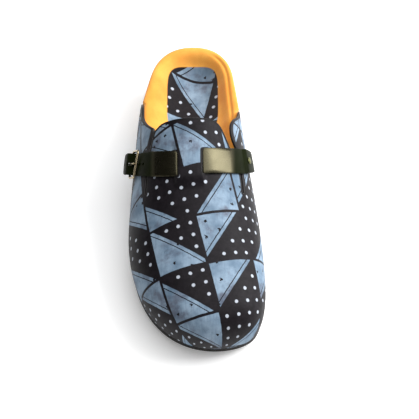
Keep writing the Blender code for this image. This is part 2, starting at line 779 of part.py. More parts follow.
def strap_stops():
    """Stops along the strap from its medial end over the crest to its lateral end."""
    runs = {}
    for side, bridge, end in (
        (MEDIAL, BRIDGE_MEDIAL, STRAP_MEDIAL_END),
        (LATERAL, -BRIDGE_LATERAL, STRAP_LATERAL_END),
    ):
        dips = [length_at_side(side, bridge + d) for d in even_lengths(DIP_END, DIP_START, DIP_STEP)]
        inner = even_lengths(0.0, dips[0], STRAP_STEP)
        corner = length_at_height(side, end + STRAP_CORNER)
        outer = even_lengths(dips[-1], corner, STRAP_STEP)
        tip = even_lengths(corner, length_at_height(side, end), STRAP_TIP_STEP)
        runs[side] = inner[:-1] + dips + outer[1:] + tip[1:]
    medial = [(MEDIAL, length) for length in runs[MEDIAL][::-1]]
    return medial + [(LATERAL, length) for length in runs[LATERAL][1:]]


def lower_bar_depth():
    """Distance of the lower bar's middle from the upper's face: the tab's loop passes under it."""
    return STRAP_LIFT + TAB_THICKNESS + JOINT_GAP + BAR_RADIUS


def upper_bar_depth():
    return STRAP_LIFT + STRAP_THICKNESS + BAR_STRAP_GAP + BAR_RADIUS


def knuckle_top():
    return lower_bar_depth() + BAR_RADIUS + JOINT_GAP + TAB_THICKNESS


BuckleAxes = collections.namedtuple("BuckleAxes", "low along up out length")


@functools.lru_cache(maxsize=None)
def buckle_axes():
    """Middle of the lower bar, directions along it, up the wing and outwards, and the bars' distance."""
    middles = []
    for height, depth in ((LOWER_BAR_HEIGHT, lower_bar_depth()), (UPPER_BAR_HEIGHT, upper_bar_depth())):
        length = length_at_height(LATERAL, height)
        point, normal = strap_point(LATERAL, length, 0.0)
        middles.append(point + normal * depth)
    front, back = (strap_point(LATERAL, length, end * STRAP_WIDTH / 2)[0] for end in (1, -1))
    bar_distance = np.linalg.norm(middles[1] - middles[0])
    up = (middles[1] - middles[0]) / bar_distance
    along = front - back
    along -= up * (along @ up)
    along /= np.linalg.norm(along)
    out = np.cross(along, up)
    if out[0] > 0:
        out = -out
    return BuckleAxes(middles[0], along, up, out, bar_distance)


def tube(name, path, radius, finish, closed):
    """Round tube along a path of points, open with flat ends or closed on itself."""
    count = len(path)
    points = []
    for i, point in enumerate(path):
        before = path[i - 1] if closed or i > 0 else point
        after = path[(i + 1) % count] if closed or i < count - 1 else point
        along = (after - before) / np.linalg.norm(after - before)
        first = np.cross(along, buckle_axes().out)
        first /= np.linalg.norm(first)
        second = np.cross(along, first)
        for k in range(ROUND_SIDES):
            turn = 2 * math.pi * k / ROUND_SIDES
            points.append(point + radius * (first * math.cos(turn) + second * math.sin(turn)))
    return mesh_object(name, points, sleeve_faces(count, ROUND_SIDES, closed), finish, TUBE_SMOOTH_ANGLE)


def build_buckle():
    """Round wire frame: two bars across the strap, joined by short sides with rounded corners."""
    axes = buckle_axes()
    half = STRAP_WIDTH / 2 - STRAP_TAPER + FRAME_CLEARANCE + BAR_RADIUS
    path = []
    for across, rise, start in ((1, 1, 0), (-1, 1, 90), (-1, 0, 180), (1, 0, 270)):
        centre = axes.low + axes.along * across * (half - FRAME_CORNER)
        centre = centre + axes.up * (axes.length - FRAME_CORNER if rise else FRAME_CORNER)
        for step in range(FRAME_CORNER_STEPS + 1):
            turn = math.radians(start + 90 * step / FRAME_CORNER_STEPS)
            path.append(centre + FRAME_CORNER * (axes.along * math.cos(turn) + axes.up * math.sin(turn)))
    return tube("buckle_frame", path, BAR_RADIUS, "dark_metal", True)


def build_tab():
    """Leather tab on the lateral wing, whose loop holds the lower bar of the buckle."""
    axes = buckle_axes()
    first = length_at_height(LATERAL, LOWER_BAR_HEIGHT + BAR_RADIUS)
    stops = even_lengths(first, length_at_height(LATERAL, TAB_LOW_END), STRAP_STEP)
    tab = band_solid(
        "buckle_tab",
        [(LATERAL, length) for length in stops],
        lambda side, point: TAB_WIDTH / 2,
        lambda side, point: (STRAP_LIFT, STRAP_LIFT + TAB_THICKNESS),
        "metallic_leather",
    )
    bore = BAR_RADIUS + JOINT_GAP
    loop = bore + TAB_THICKNESS
    ends = [axes.low + axes.along * end * TAB_WIDTH / 2 for end in (-1, 1)]
    past = axes.along * loop
    boolean(tab, tube("tab_loop", ends, loop - TAB_LOOP_TRIM, None, False), "UNION")
    boolean(tab, tube("tab_bore", (ends[0] - past, ends[1] + past), bore, None, False))
    boolean(tab, buckle_box("tab_gap", PRONG_GAP, (-2 * loop, 2 * loop), (0.0, 2 * loop)))
    return tab


def build_prong():
    """Straight prong, from behind the lower bar to past the upper one."""
    axes = buckle_axes()
    start = axes.low + axes.out * (BAR_RADIUS + JOINT_GAP + PRONG_RADIUS) - axes.up * PRONG_RADIUS
    reach = axes.up * (axes.length + 3 * PRONG_RADIUS)
    path = [start + reach * i / PRONG_STEPS for i in range(PRONG_STEPS + 1)]
    return tube("buckle_prong", path, PRONG_RADIUS, "dark_metal", False)


def buckle_box(name, width, rises, depths):
    """Box cutter at the buckle: its width, and its reach from the lower bar up the wing and outwards."""
    axes = buckle_axes()
    points = []
    for depth in depths:
        for across, rise in ((-0.5, rises[0]), (0.5, rises[0]), (0.5, rises[1]), (-0.5, rises[1])):
            points.append(axes.low + axes.along * across * width + axes.up * rise + axes.out * depth)
    return mesh_object(name, points, sleeve_faces(2, 4))


def build_strap():
    strap = band_solid("strap", strap_stops(), strap_half_width, strap_layers, "metallic_leather")
    rises = [share * buckle_axes().length for share in PRONG_SLOT_SHARES]
    boolean(strap, buckle_box("prong_slot", PRONG_SLOT_WIDTH, rises, PRONG_SLOT_DEPTHS))
    return strap


def build_rivet():
    """Domed rivet head on the folded medial end of the strap."""
    profile = [(0.0, RIVET_DOME)]
    for turn in RIVET_TURNS:
        angle = math.radians(turn)
        share = RIVET_EDGE_SHARE + (1 - RIVET_EDGE_SHARE) * math.cos(angle)
        profile.append((RIVET_RADIUS * math.sin(angle), RIVET_DOME * share))
    profile += [(RIVET_RADIUS, 0.0), (0.0, 0.0)]
    shape = bmesh.new()
    rows = [shape.verts.new((radius * MM, 0.0, height * MM)) for radius, height in profile]
    for a, b in zip(rows, rows[1:]):
        shape.edges.new((a, b))
    bmesh.ops.spin(shape, geom=shape.verts[:] + shape.edges[:], cent=(0, 0, 0), axis=(0, 0, 1),
                   angle=2 * math.pi, steps=2 * ROUND_SIDES)
    bmesh.ops.remove_doubles(shape, verts=shape.verts, dist=MERGE_DISTANCE)
    bmesh.ops.recalc_face_normals(shape, faces=shape.faces)
    mesh = bpy.data.meshes.new("rivet")
    shape.to_mesh(mesh)
    shape.free()
    mesh.materials.append(finish_material("dark_metal"))
    mesh.shade_smooth()
    mesh.set_sharp_from_angle(angle=SMOOTH_ANGLE)
    rivet = bpy.data.objects.new("rivet", mesh)
    bpy.context.scene.collection.objects.link(rivet)
    point, normal = strap_point(MEDIAL, length_at_height(MEDIAL, RIVET_HEIGHT), 0.0)
    seat = point + normal * (STRAP_LIFT + STRAP_FOLD_THICKNESS + JOINT_GAP)
    facing = to_frame(seat + normal) - to_frame(seat)
    turn = facing.to_track_quat("Z", "Y").to_matrix().to_4x4()
    rivet.matrix_world = Matrix.Translation(to_frame(seat)) @ turn
    return rivet


def main():
    for obj in list(bpy.data.objects):
        bpy.data.objects.remove(obj)
    pieces = [
        build_outsole(),
        loft_round_crest("cork_footbed", cork_profile, "cork"),
        loft_round_crest("footbed_lining", lining_profile, "suede"),
        build_upper(),
        build_strap(),
        build_buckle(),
        build_tab(),
        build_prong(),
        build_rivet(),
    ]
    clog = bpy.data.objects.new("clog", None)
    bpy.context.scene.collection.objects.link(clog)
    for piece in pieces:
        piece.parent = clog


main()
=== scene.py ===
"""Looks of a cork footbed clog for the right foot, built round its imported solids.

The fine meshes repeat the sizes and functions of the part, so each of them lies where its solid does.
Sizes are millimetres, and meshes are written in metres. A station is a distance from the back of the
heel towards the toe, side positions are positive towards the big toe, and heights start at the floor.
"""

import collections
import functools
import math

import bpy
import numpy as np
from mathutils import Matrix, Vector


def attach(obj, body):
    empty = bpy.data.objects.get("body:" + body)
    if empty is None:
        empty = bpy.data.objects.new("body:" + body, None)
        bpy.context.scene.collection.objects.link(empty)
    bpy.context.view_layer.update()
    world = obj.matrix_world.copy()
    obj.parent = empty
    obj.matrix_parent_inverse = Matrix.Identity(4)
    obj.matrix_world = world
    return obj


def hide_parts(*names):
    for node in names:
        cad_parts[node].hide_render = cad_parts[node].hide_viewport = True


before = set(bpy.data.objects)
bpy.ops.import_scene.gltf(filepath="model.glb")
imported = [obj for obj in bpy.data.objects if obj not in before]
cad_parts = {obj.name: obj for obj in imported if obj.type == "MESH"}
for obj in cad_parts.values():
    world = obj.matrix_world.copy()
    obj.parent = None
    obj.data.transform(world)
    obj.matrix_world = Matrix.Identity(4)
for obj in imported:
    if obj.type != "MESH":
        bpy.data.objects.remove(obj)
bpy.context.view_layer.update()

MM = 0.001
MEDIAL, LATERAL = "medial", "lateral"
BODY = "root"

# Driving sizes of the whole clog
LENGTH = 255.0
ORIGIN_STATION = 127.5
ORIGIN_SIDE = -0.5
JOINT_GAP = 0.4

# Plan outline of the widest line of the clog, round from the heel: side, station
OUTLINE = (
    (0.0, 0.0),
    (17.8, 4.8),
    (27.2, 15.0),
    (32.3, 34.0),
    (35.8, 60.0),
    (39.4, 90.0),
    (44.8, 128.0),
    (49.6, 166.0),
    (52.2, 205.0),
    (50.8, 229.0),
    (43.4, 245.6),
    (29.5, 253.0),
    (14.0, LENGTH),
    (-2.5, 252.0),
    (-18.0, 243.4),
    (-32.6, 227.0),
    (-43.2, 203.5),
    (-47.9, 178.0),
    (-48.0, 155.0),
    (-46.4, 122.0),
    (-44.4, 90.0),
    (-41.4, 60.0),
    (-35.6, 34.0),
    (-28.8, 15.0),
    (-18.8, 4.8),
)
OUTLINE_SAMPLES = 1200

# Sections of the last: station, crest height, crest side, height of the widest line, shoulder fullness
SECTIONS = (
    (0.0, 108.0, 0.0, 34.0, -0.05),
    (60.0, 104.0, 0.0, 33.0, -0.05),
    (90.0, 97.0, 0.0, 30.0, -0.05),
    (106.0, 92.0, 0.0, 28.0, -0.04),
    (140.0, 80.0, 0.0, 26.0, 0.0),
    (170.0, 68.5, 2.0, 25.0, 0.05),
    (195.0, 60.0, 6.0, 24.0, 0.1),
    (215.0, 54.5, 9.5, 23.5, 0.14),
    (228.0, 51.0, 12.0, 23.0, 0.16),
    (LENGTH, 44.0, 14.0, 22.5, 0.16),
)

# The crest line runs between these stations, and the ends of the plan fan round its two ends
CREST_HEEL, FAN_HEEL, FAN_TOE, CREST_TOE = 31.0, 46.0, 190.0, 229.0
HEEL_COLUMNS, SIDE_COLUMNS, TOE_COLUMNS = 44, 112, 58
SLOPE_STEP = 0.5

# Outsole
SOLE_THICKNESS, SOLE_TOE_THICKNESS = 8.0, 6.0
TOE_SPRING, TOE_SPRING_START = 6.0, 196.0
HEEL_LIFT, HEEL_LIFT_END = 1.6, 12.0
ARCH_RISE, ARCH_START, ARCH_END = 1.8, 84.0, 130.0
SOLE_EDGE_INSET, SOLE_FOOT_INSET = 1.6, 4.4
SOLE_RIB = 0.8
# Side of the sole above its foot: part of the way up, and depth there in ribs
SOLE_SIDE = (
    (0.08, 1.9), (0.17, 1.2), (0.25, 1.0), (0.33, 0.55), (0.4, 0.15), (0.47, 0.0), (0.58, 0.0),
    (0.63, 0.2), (0.66, 0.85), (0.7, 1.0), (0.74, 0.85), (0.77, 0.2), (0.82, 0.0), (0.97, 0.0), (1.0, 0.3),
)
TREAD_DEPTH, TREAD_WIDTH, TREAD_PITCH = 1.6, 3.0, 11.5
TREAD_BOW, TREAD_SEGMENTS, TREAD_REACH, TREAD_BELOW = 7.0, 24, 60.0, 2.0
# Section of a tread groove: distance from its middle in widths, and height
TREAD_SECTION = ((-0.5, -TREAD_BELOW), (0.5, -TREAD_BELOW), (0.3, TREAD_DEPTH), (-0.3, TREAD_DEPTH))
TREAD_HEEL_START, TREAD_HEEL_END = 17.0, 75.0
TREAD_BALL_START, TREAD_BALL_END = 142.0, 206.0

# Footbed: station, height of the bed, height of the lateral rim, height of the medial rim
FOOTBED = (
    (0.0, 29.0, 46.0, 46.0),
    (30.0, 27.5, 43.5, 43.5),
    (60.0, 27.0, 40.5, 41.5),
    (90.0, 26.5, 37.0, 41.5),
    (120.0, 25.0, 33.0, 38.0),
    (150.0, 23.0, 30.0, 32.0),
    (185.0, 21.0, 28.0, 28.5),
    (208.0, 23.0, 28.0, 28.5),
    (230.0, 22.5, 28.5, 28.5),
    (LENGTH, 24.0, 29.0, 29.0),
)
RIM_WIDTH, RIM_ROUND = 6.0, 1.8
# Section over the edge of the rim: distance in from the edge and drop from the top, in rim rounds
RIM_SECTION = ((0.0, 1.0), (0.45, 0.3), (1.4, 0.0))
RIM_INNER_DROP = 0.7
CUP_POWER = 2.4
CUP_STEPS = (0.2, 0.45, 0.72)
LINING_THICKNESS = 1.5
CORK_FOOT_TAPER = 2.2
# Side of the cork: part of the way up from its foot to its rim, and its clearance to the hem, in walls
CORK_SIDE = ((0.0, 1.0), (0.2, 0.8), (0.5, 0.0))
SEAT_RUN, SEAT_UNDER, CUP_RUN = 2.6, 0.6, 40.0
PROFILE_STEPS = 8
# Crease along the foot of the medial cup wall: inset, depth, half width, and stations that it fades between
CREASE_INSET, CREASE_DEPTH, CREASE_HALF = 4.6, 1.2, 1.2
CREASE_STATIONS = (1.0, 10.0, 110.0, 130.0)

# Upper: its wall, the share of it that a level cut through its lean measures, the tuck of the hem
# and the stations of the back edges of the wings
WALL = 2.0
WALL_LEVEL_SHARE = 1.06
HEM_TUCK = 2.4
UPPER_BACK = {LATERAL: 54.0, MEDIAL: 61.0}
UPPER_BACK_EVEN = 100.0
HEM_ROWS, VAMP_ROWS = 10, 82
EDGE_ROUND, HEM_ROUND, EDGE_ARC = 0.5, 0.12, 6
# The wings' walls are pared down to this share at their back edges, over this run
SKIVE_SHARE, SKIVE_RUN = 0.5, 12.0
SNAP_SHARE, ROOT_STEPS = 0.25, 14

# Tongue, slits and strap are cut square to the instep, along a line that leans this far from level.
# A rise is a distance across that line, growing from the heel towards the toe.
INSTEP_LEAN = math.radians(57.0)
CUT_BACK = -115.0

# Edge of the lateral wing up to the tongue: side, rise
LATERAL_WING_EDGE = (
    (-70.0, 20.0),
    (-42.0, 22.0),
    (-39.6, 26.0),
    (-38.8, 32.5),
    (-37.2, 39.6),
    (-33.6, 43.6),
    (-30.4, 45.6),
)
# Edge of the tongue, from the lateral slit to the medial one: side, rise
TONGUE_EDGE = (
    (-28.2, 47.4),
    (-23.9, 43.4),
    (-19.2, 41.5),
    (-14.6, 40.4),
    (-6.8, 39.4),
    (1.0, 39.2),
    (8.6, 39.5),
    (14.8, 40.9),
    (19.2, 44.2),
    (21.6, 48.0),
    (24.8, 55.0),
    (28.0, 63.0),
    (34.9, 81.0),
)
# Edge of the medial wing, from the slit back: side, rise
MEDIAL_WING_EDGE = (
    (35.3, 81.0),
    (32.4, 63.0),
    (29.2, 55.4),
    (27.6, 48.0),
    (27.8, 43.6),
    (30.0, 39.2),
    (34.0, 35.6),
    (35.6, 30.0),
    (37.5, 27.6),
    (70.0, 26.0),
)
# Middles of the two slits, throat to front end: side, rise
LATERAL_SLIT = ((-28.4, 44.0), (-31.0, 53.8), (-32.8, 62.0), (-34.3, 80.0), (-35.2, 95.0))
MEDIAL_SLIT = ((33.2, 73.0), (35.2, 81.0), (36.2, 88.0), (36.6, 94.0))
SLIT_WIDTH = 0.6
EDGE_STEPS = 6

# Strap
STRAP_RISE, STRAP_SHIFT, STRAP_SHIFT_SIDES = 72.15, 2.3, (-18.0, 14.0)
STRAP_WIDTH, STRAP_THICKNESS, STRAP_LIFT = 18.6, 1.6, 0.5
STRAP_TAPER, STRAP_TAPER_RUN = 0.8, 14.0
STRAP_TIP_TAPER = {LATERAL: 0.8, MEDIAL: 2.2}
STRAP_FOLD_THICKNESS, STRAP_FOLD_RUN = 3.4, 2.0
STRAP_MEDIAL_END, STRAP_MEDIAL_FOLD = 34.0, 62.0
STRAP_LATERAL_END = 40.0
STRAP_CORNER = 4.0
STRAP_STEP, STRAP_FINE_STEP = 1.2, 0.3
STRAP_FIRST_GUESS, STRAP_LINE_STEPS = (130.0, 120.0), 91
SEARCH_STEPS, SEARCH_PRECISION = 12, 1e-5
# Lines beside the middle of the strap that the upper's face under it is worked out from
LINE_OFFSETS = tuple(STRAP_WIDTH / 2 * share for share in (-1.0, -0.5, 0.0, 0.5, 1.0))
STRAP_EDGE, STRAP_CROWN = 0.55, 0.12
BAND_FACE, BAND_ARC = 9, 5
# Distances beside the middle between which the strap turns from metallic foil to plain, non-metallic ends,
# whose dark olive-green colour is painted reflection of dark green surroundings
STRAP_FOIL = (26.8, 31.6)
BRIDGE_LATERAL, BRIDGE_MEDIAL = -11.5, 6.5
BRIDGE_SWELL, BRIDGE_FADE = 3.4, 10.0
SLOT_WIDTH, SLOT_END_CLEARANCE = 3.2, -0.8
DIP_START, DIP_END, STRAP_DIP = 0.7, -3.0, 2.2
HOLE_RADIUS, HOLE_DEPTH = 1.15, 6.0
HOLE_LENGTHS_FROM_BAR = (-8.4, -3.4)

# Buckle on the lateral wing, and the rivet on the medial wing
UPPER_BAR_HEIGHT, LOWER_BAR_HEIGHT = 58.0, 47.5
BAR_RADIUS, BAR_STRAP_GAP = 0.9, 0.6
FRAME_CORNER, FRAME_CORNER_STEPS, FRAME_CLEARANCE = 2.0, 12, 0.6
TAB_WIDTH, TAB_THICKNESS, TAB_LOW_END, TAB_LOOP_TRIM = 13.0, 1.4, 26.0, 0.02
PRONG_RADIUS, PRONG_STEPS, PRONG_TIP_SHARE, PRONG_GAP = 0.7, 24, 0.02, 2.4
PRONG_SLOT_WIDTH, PRONG_SLOT_SHARES, PRONG_SLOT_DEPTHS = 2.2, (0.21, 0.7), (-2.0, 12.0)
# Distances from the upper's face to the bars' middles and to the top of the tab's loop, which passes
# under the lower bar and over it
LOWER_BAR_DEPTH = STRAP_LIFT + TAB_THICKNESS + JOINT_GAP + BAR_RADIUS
UPPER_BAR_DEPTH = STRAP_LIFT + STRAP_THICKNESS + BAR_STRAP_GAP + BAR_RADIUS
LOOP_TOP = LOWER_BAR_DEPTH + BAR_RADIUS + JOINT_GAP + TAB_THICKNESS
RIVET_HEIGHT, RIVET_RADIUS, RIVET_DOME, RIVET_EDGE_SHARE = 57.5, 2.6, 1.0, 0.25
RIVET_STEPS, RIVET_SIDES = 12, 48
ROUND_SIDES = 28
SMOOTH_ANGLE = math.radians(42.0)

# Print of the upper: a quilt of split squares, pale on one half and dotted on the dark half
QUILT, QUILT_TURN, QUILT_SEAM, QUILT_WOBBLE = 36.0, math.radians(14.0), 1.0, 0.6
QUILT_SHIFTS, QUILT_START = (-0.42, 0.12), (252.0, 90.0, 0.0)
# Stripe in the pale halves beside their long edge: its place and half width in squares
STRIPE_PLACE, STRIPE_HALF = 0.1, 0.013
BLOT_PITCH, BLOT_RADIUS, BLOT_RAGGED, BLOT_CHANCE = 10.0, 1.0, 4.0, 0.62
DOT_PITCH, DOT_RADIUS, DOT_CLEAR, DOT_CHANCE = 9.0, 1.25, 0.1, 0.1
# Heel patch of the lining: its middle in side and rise, its half length and half width, the power of
# its rounded outline and how softly it ends, and the part of the print that it starts from
PATCH_SIDE, PATCH_RISE = -0.7, 18.2
PATCH_HALF_LENGTH, PATCH_HALF_WIDTH, PATCH_POWER, PATCH_SOFT = 26.7, 20.2, 4.5, 0.08
PATCH_START = (-60.0, 54.0, 0.0)
# Softness of the print's edges: halves and seams in squares, dots and blots in their pitches
SPLIT_SOFT, SEAM_SOFT, DOT_SOFT, BLOT_SOFT = 0.008, 0.006, 0.03, 0.01
# Distances from a cut edge between which its dark border turns to print
BORDER = (0.9, 1.5)

# Floor: half its width in metres, and the strength of its own glow
FLOOR_HALF, FLOOR_GLOW = 40.0, 0.25
# Light from all round: the directions across the stage that it grows between, and its strength there
WORLD_SIDES, WORLD_STRENGTHS = (-0.8, 0.7), (0.08, 0.32)
# Area lights, in metres and watts: name, place, target, size, power
LIGHTS = (
    ("key", (1.18, 0.2, 0.86), (0.0, 0.0, 0.05), (0.7, 1.35), 25.0),
    ("top", (0.3, 0.35, 1.4), (0.0, 0.0, 0.0), (1.8, 1.8), 25.0),
)

# Picture: size, camera distance in metres and angle, and the pixel that the target falls on
PICTURE = 419.0
CAMERA_DISTANCE, CAMERA_ELEVATION = 0.9, math.radians(57.0)
CAMERA_TARGET = (0.0, 142.0, 30.0)
TARGET_PIXEL = (193.5, 205.0)
PIXELS_PER_METRE = 1330.0
SENSOR = 36.0


# Curves and tables

def natural_spline(xs, ys):
    """Smooth curve through a table's rows, as a function of the first column."""
    xs = np.asarray(xs, float)
    ys = np.asarray(ys, float)
    gaps = np.diff(xs)
    count = len(xs)
    matrix = np.eye(count)
    right = np.zeros(count)
    for i in range(1, count - 1):
        matrix[i, i - 1:i + 2] = gaps[i - 1], 2 * (gaps[i - 1] + gaps[i]), gaps[i]
        right[i] = 6 * ((ys[i + 1] - ys[i]) / gaps[i] - (ys[i] - ys[i - 1]) / gaps[i - 1])
    bends = np.linalg.solve(matrix, right)

    def curve(x):
        i = int(np.clip(np.searchsorted(xs, x) - 1, 0, count - 2))
        step = x - xs[i]
        slope = (ys[i + 1] - ys[i]) / gaps[i] - gaps[i] * (2 * bends[i] + bends[i + 1]) / 6
        cubic = (bends[i + 1] - bends[i]) / (6 * gaps[i])
        return ys[i] + step * (slope + step * (bends[i] / 2 + step * cubic))

    return curve


def table_curve(table, column):
    return functools.lru_cache(maxsize=None)(
        natural_spline([row[0] for row in table], [row[column] for row in table])
    )


def run_lengths(points):
    """Length along a line of points, at each of them."""
    return np.concatenate([[0.0], np.cumsum(np.linalg.norm(np.diff(points, axis=0), axis=1))])


def plan_curve(points, steps):
    """Smooth open curve through plan points, with a number of steps between each pair."""
    knots = run_lengths(np.array(points))
    across = natural_spline(knots, [p[0] for p in points])
    along = natural_spline(knots, [p[1] for p in points])
    marks = np.interp(np.arange((len(points) - 1) * steps + 1) / steps, range(len(points)), knots)
    return [(across(m), along(m)) for m in marks]


def clamped(value):
    return min(max(value, 0.0), 1.0)


def smooth_step(start, end, value):
    part = clamped((value - start) / (end - start))
    return part * part * (3 - 2 * part)


def plateau(start, full, fade, end, value):
    """Smooth step up from start to full, and down again from fade to end."""
    return smooth_step(start, full, value) * (1 - smooth_step(fade, end, value))


def outline_runs():
    """Heel to toe runs of the plan outline: side, station and length along the run, by side."""
    lap = len(OUTLINE)
    wrapped = plan_curve([OUTLINE[i % lap] for i in range(-lap, 2 * lap + 1)], OUTLINE_SAMPLES // lap)
    ring = np.array(wrapped[lap * (OUTLINE_SAMPLES // lap):2 * lap * (OUTLINE_SAMPLES // lap)])
    ring = np.roll(ring, -int(np.argmin(ring[:, 1])), axis=0)
    toe = int(np.argmax(ring[:, 1]))
    sides = {MEDIAL: ring[:toe + 1], LATERAL: np.vstack([ring[toe:], ring[:1]])[::-1]}
    return {name: (run[:, 0], run[:, 1], run_lengths(run)) for name, run in sides.items()}


RUNS = outline_runs()
crest_height = table_curve(SECTIONS, 1)
crest_side = table_curve(SECTIONS, 2)
widest_height = table_curve(SECTIONS, 3)
fullness = table_curve(SECTIONS, 4)
bed_height = table_curve(FOOTBED, 1)
rim_height = {LATERAL: table_curve(FOOTBED, 2), MEDIAL: table_curve(FOOTBED, 3)}


# The last: plan columns, and the upper's outer face

def fan(side, start, end_length, reach):
    """Length along the outline at the start of a fan, its rate there and how fast it spreads."""
    _, stations, lengths = RUNS[side]
    first = np.interp(start, stations, lengths)
    rate = np.interp(start + 1, stations, lengths) - first
    spread = (abs(end_length - first) - rate * reach) / reach ** 2
    return first, rate, spread


def outline_point(side, station):
    """Plan point of the outline that pairs with a station of the crest line."""
    across, stations, lengths = RUNS[side]
    if station > FAN_TOE:
        first, rate, spread = fan(side, FAN_TOE, lengths[-1], CREST_TOE - FAN_TOE)
        step = station - FAN_TOE
        length = first + rate * step + spread * step ** 2
    elif station < FAN_HEEL:
        first, rate, spread = fan(side, FAN_HEEL, 0.0, FAN_HEEL - CREST_HEEL)
        step = FAN_HEEL - station
        length = first - rate * step - spread * step ** 2
    else:
        length = np.interp(station, stations, lengths)
    return np.interp(length, lengths, across), np.interp(length, lengths, stations)


def fan_stations(start, reach, end_length, count):
    """Crest stations whose outline points lie evenly round a fan, past its start."""
    first, rate, spread = fan(MEDIAL, start, end_length, abs(reach))
    total = rate * abs(reach) + spread * reach ** 2
    steps = []
    for i in range(1, count + 1):
        root = math.sqrt(rate ** 2 + 4 * spread * total * i / count)
        steps.append(start + math.copysign((root - rate) / (2 * spread), reach))
    return steps


def crest_stations(first):
    """Stations of the columns, from the back end of the crest line or from a station on its side."""
    side_run = list(np.linspace(max(first, FAN_HEEL), FAN_TOE, SIDE_COLUMNS))
    toe_run = fan_stations(FAN_TOE, CREST_TOE - FAN_TOE, RUNS[MEDIAL][2][-1], TOE_COLUMNS)
    if first >= FAN_HEEL:
        return side_run + toe_run
    heel_run = fan_stations(FAN_HEEL, CREST_HEEL - FAN_HEEL, 0.0, HEEL_COLUMNS)
    seats = []
    for back in UPPER_BACK.values():
        seats += [back + SEAT_UNDER - part * SEAT_RUN for part in (0.0, 0.5, 1.0)]
    return heel_run[::-1] + sorted(side_run + seats) + toe_run


@functools.lru_cache(maxsize=None)
def plan_column(side, station):
    """A column of the plan: its outline point, the way in to the crest line and its reach."""
    edge = np.array(outline_point(side, station))
    inward = np.array((crest_side(station), station)) - edge
    reach = float(np.linalg.norm(inward))
    return edge, inward / reach, reach


def hem_height(station):
    return sole_top(station) + JOINT_GAP


def upper_point(side, station, angle):
    """Point of the upper's outer face: hem at -90 degrees, widest line at 0 and crest at 90."""
    edge, inward, reach = plan_column(side, station)
    turn = math.radians(angle)
    widest = widest_height(edge[1])
    if angle < 0:
        inset = HEM_TUCK * (1 - math.cos(turn))
        height = widest + (widest - hem_height(edge[1])) * math.sin(turn)
    else:
        out = math.cos(turn)
        inset = reach * (1 - out)
        swell = math.sin(turn) * (1 + fullness(station) * out ** 2)
        height = widest + (crest_height(station) - widest) * swell
        height += crest_tilt(side, station) * reach * out * (1 - out) ** 2
    plan = edge + inward * inset
    return np.array((plan[0], plan[1], height))


@functools.lru_cache(maxsize=None)
def crest_tilt(side, station):
    """Slope of the upper at the crest line, outwards along a column, so that it follows the crest."""
    inward = plan_column(side, station)[1]
    before, after = station - SLOPE_STEP, station + SLOPE_STEP
    run = np.array((crest_side(after) - crest_side(before), after - before))
    fall = crest_height(after) - crest_height(before)
    return -(inward @ run) * fall / (run @ run)


def wall_inset(station, edge_station, reach, height):
    """How far the upper's outer face lies inside the outline at a height."""
    widest = widest_height(edge_station)
    if height < widest:
        depth, rise = HEM_TUCK, hem_height(edge_station) - widest
    else:
        depth, rise = reach, crest_height(station) - widest
    part = min((height - widest) / rise, 1.0)
    return depth * (1 - math.sqrt(1 - part ** 2))


# Heights of the sole

def sole_bottom(station):
    height = HEEL_LIFT * max(1 - station / HEEL_LIFT_END, 0.0) ** 2
    if ARCH_START < station < ARCH_END:
        height += ARCH_RISE * math.sin(math.pi * (station - ARCH_START) / (ARCH_END - ARCH_START)) ** 2
    return height + TOE_SPRING * toe_part(station)


def sole_top(station):
    return SOLE_THICKNESS + (TOE_SPRING + SOLE_TOE_THICKNESS - SOLE_THICKNESS) * toe_part(station)


def toe_part(station):
    return max((station - TOE_SPRING_START) / (LENGTH - TOE_SPRING_START), 0.0) ** 2


# Meshes

def to_frame(point):
    """From side, station and height in millimetres to the model's metres, toe towards -Y."""
    return Vector(((point[0] - ORIGIN_SIDE) * MM, (ORIGIN_STATION - point[1]) * MM, point[2] * MM))


def placed(name, data):
    """Object of a mesh, a light or a camera, linked to the scene."""
    obj = bpy.data.objects.new(name, data)
    bpy.context.scene.collection.objects.link(obj)
    return obj


def turn_out(mesh):
    """Turns a closed mesh's faces outwards: its volume is then positive."""
    mesh.calc_loop_triangles()
    volume = 0.0
    for triangle in mesh.loop_triangles:
        a, b, c = (mesh.vertices[i].co for i in triangle.vertices)
        volume += a.dot(b.cross(c))
    if volume < 0:
        mesh.flip_normals()


def smooth(mesh):
    """Shades a mesh smooth, apart from its sharp edges."""
    mesh.shade_smooth()
    mesh.set_sharp_from_angle(angle=SMOOTH_ANGLE)


def mesh_object(name, points, faces, paints=()):
    """Object of a closed mesh given in millimetres, with its faces turned outwards."""
    mesh = bpy.data.meshes.new(name)
    mesh.from_pydata([to_frame(p) for p in points], [], faces)
    turn_out(mesh)
    for paint in paints:
        mesh.materials.append(paint)
    smooth(mesh)
    return placed(name, mesh)


def piece(obj, node):
    """Makes an object stand for a node of the part: it rides on the body, and the node's imported solid is
    hidden.
    """
    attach(obj, BODY)
    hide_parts(node)
    return obj


def cut(obj, tools, operation="DIFFERENCE"):
    """Cuts an object by cutters, or joins them to it, and removes them."""
    for tool in tools:
        modifier = obj.modifiers.new(tool.name, "BOOLEAN")
        modifier.operation = operation
        modifier.object = tool
        modifier.solver = "MANIFOLD"
    bpy.context.view_layer.update()
    made = bpy.data.meshes.new_from_object(obj.evaluated_get(bpy.context.evaluated_depsgraph_get()))
    obj.modifiers.clear()
    obj.data = made
    smooth(made)
    for tool in tools:
        bpy.data.objects.remove(tool)
    return obj


def sleeve_faces(rings, sides, closed=False):
    """Faces of a sleeve through rings of points, closed on itself or with flat ends."""
    faces = []
    for i in range(rings if closed else rings - 1):
        j = (i + 1) % rings
        for k in range(sides):
            n = (k + 1) % sides
            faces.append([i * sides + k, i * sides + n, j * sides + n, j * sides + k])
    if not closed:
        faces.append(list(range(sides))[::-1])
        faces.append([(rings - 1) * sides + k for k in range(sides)])
    return faces


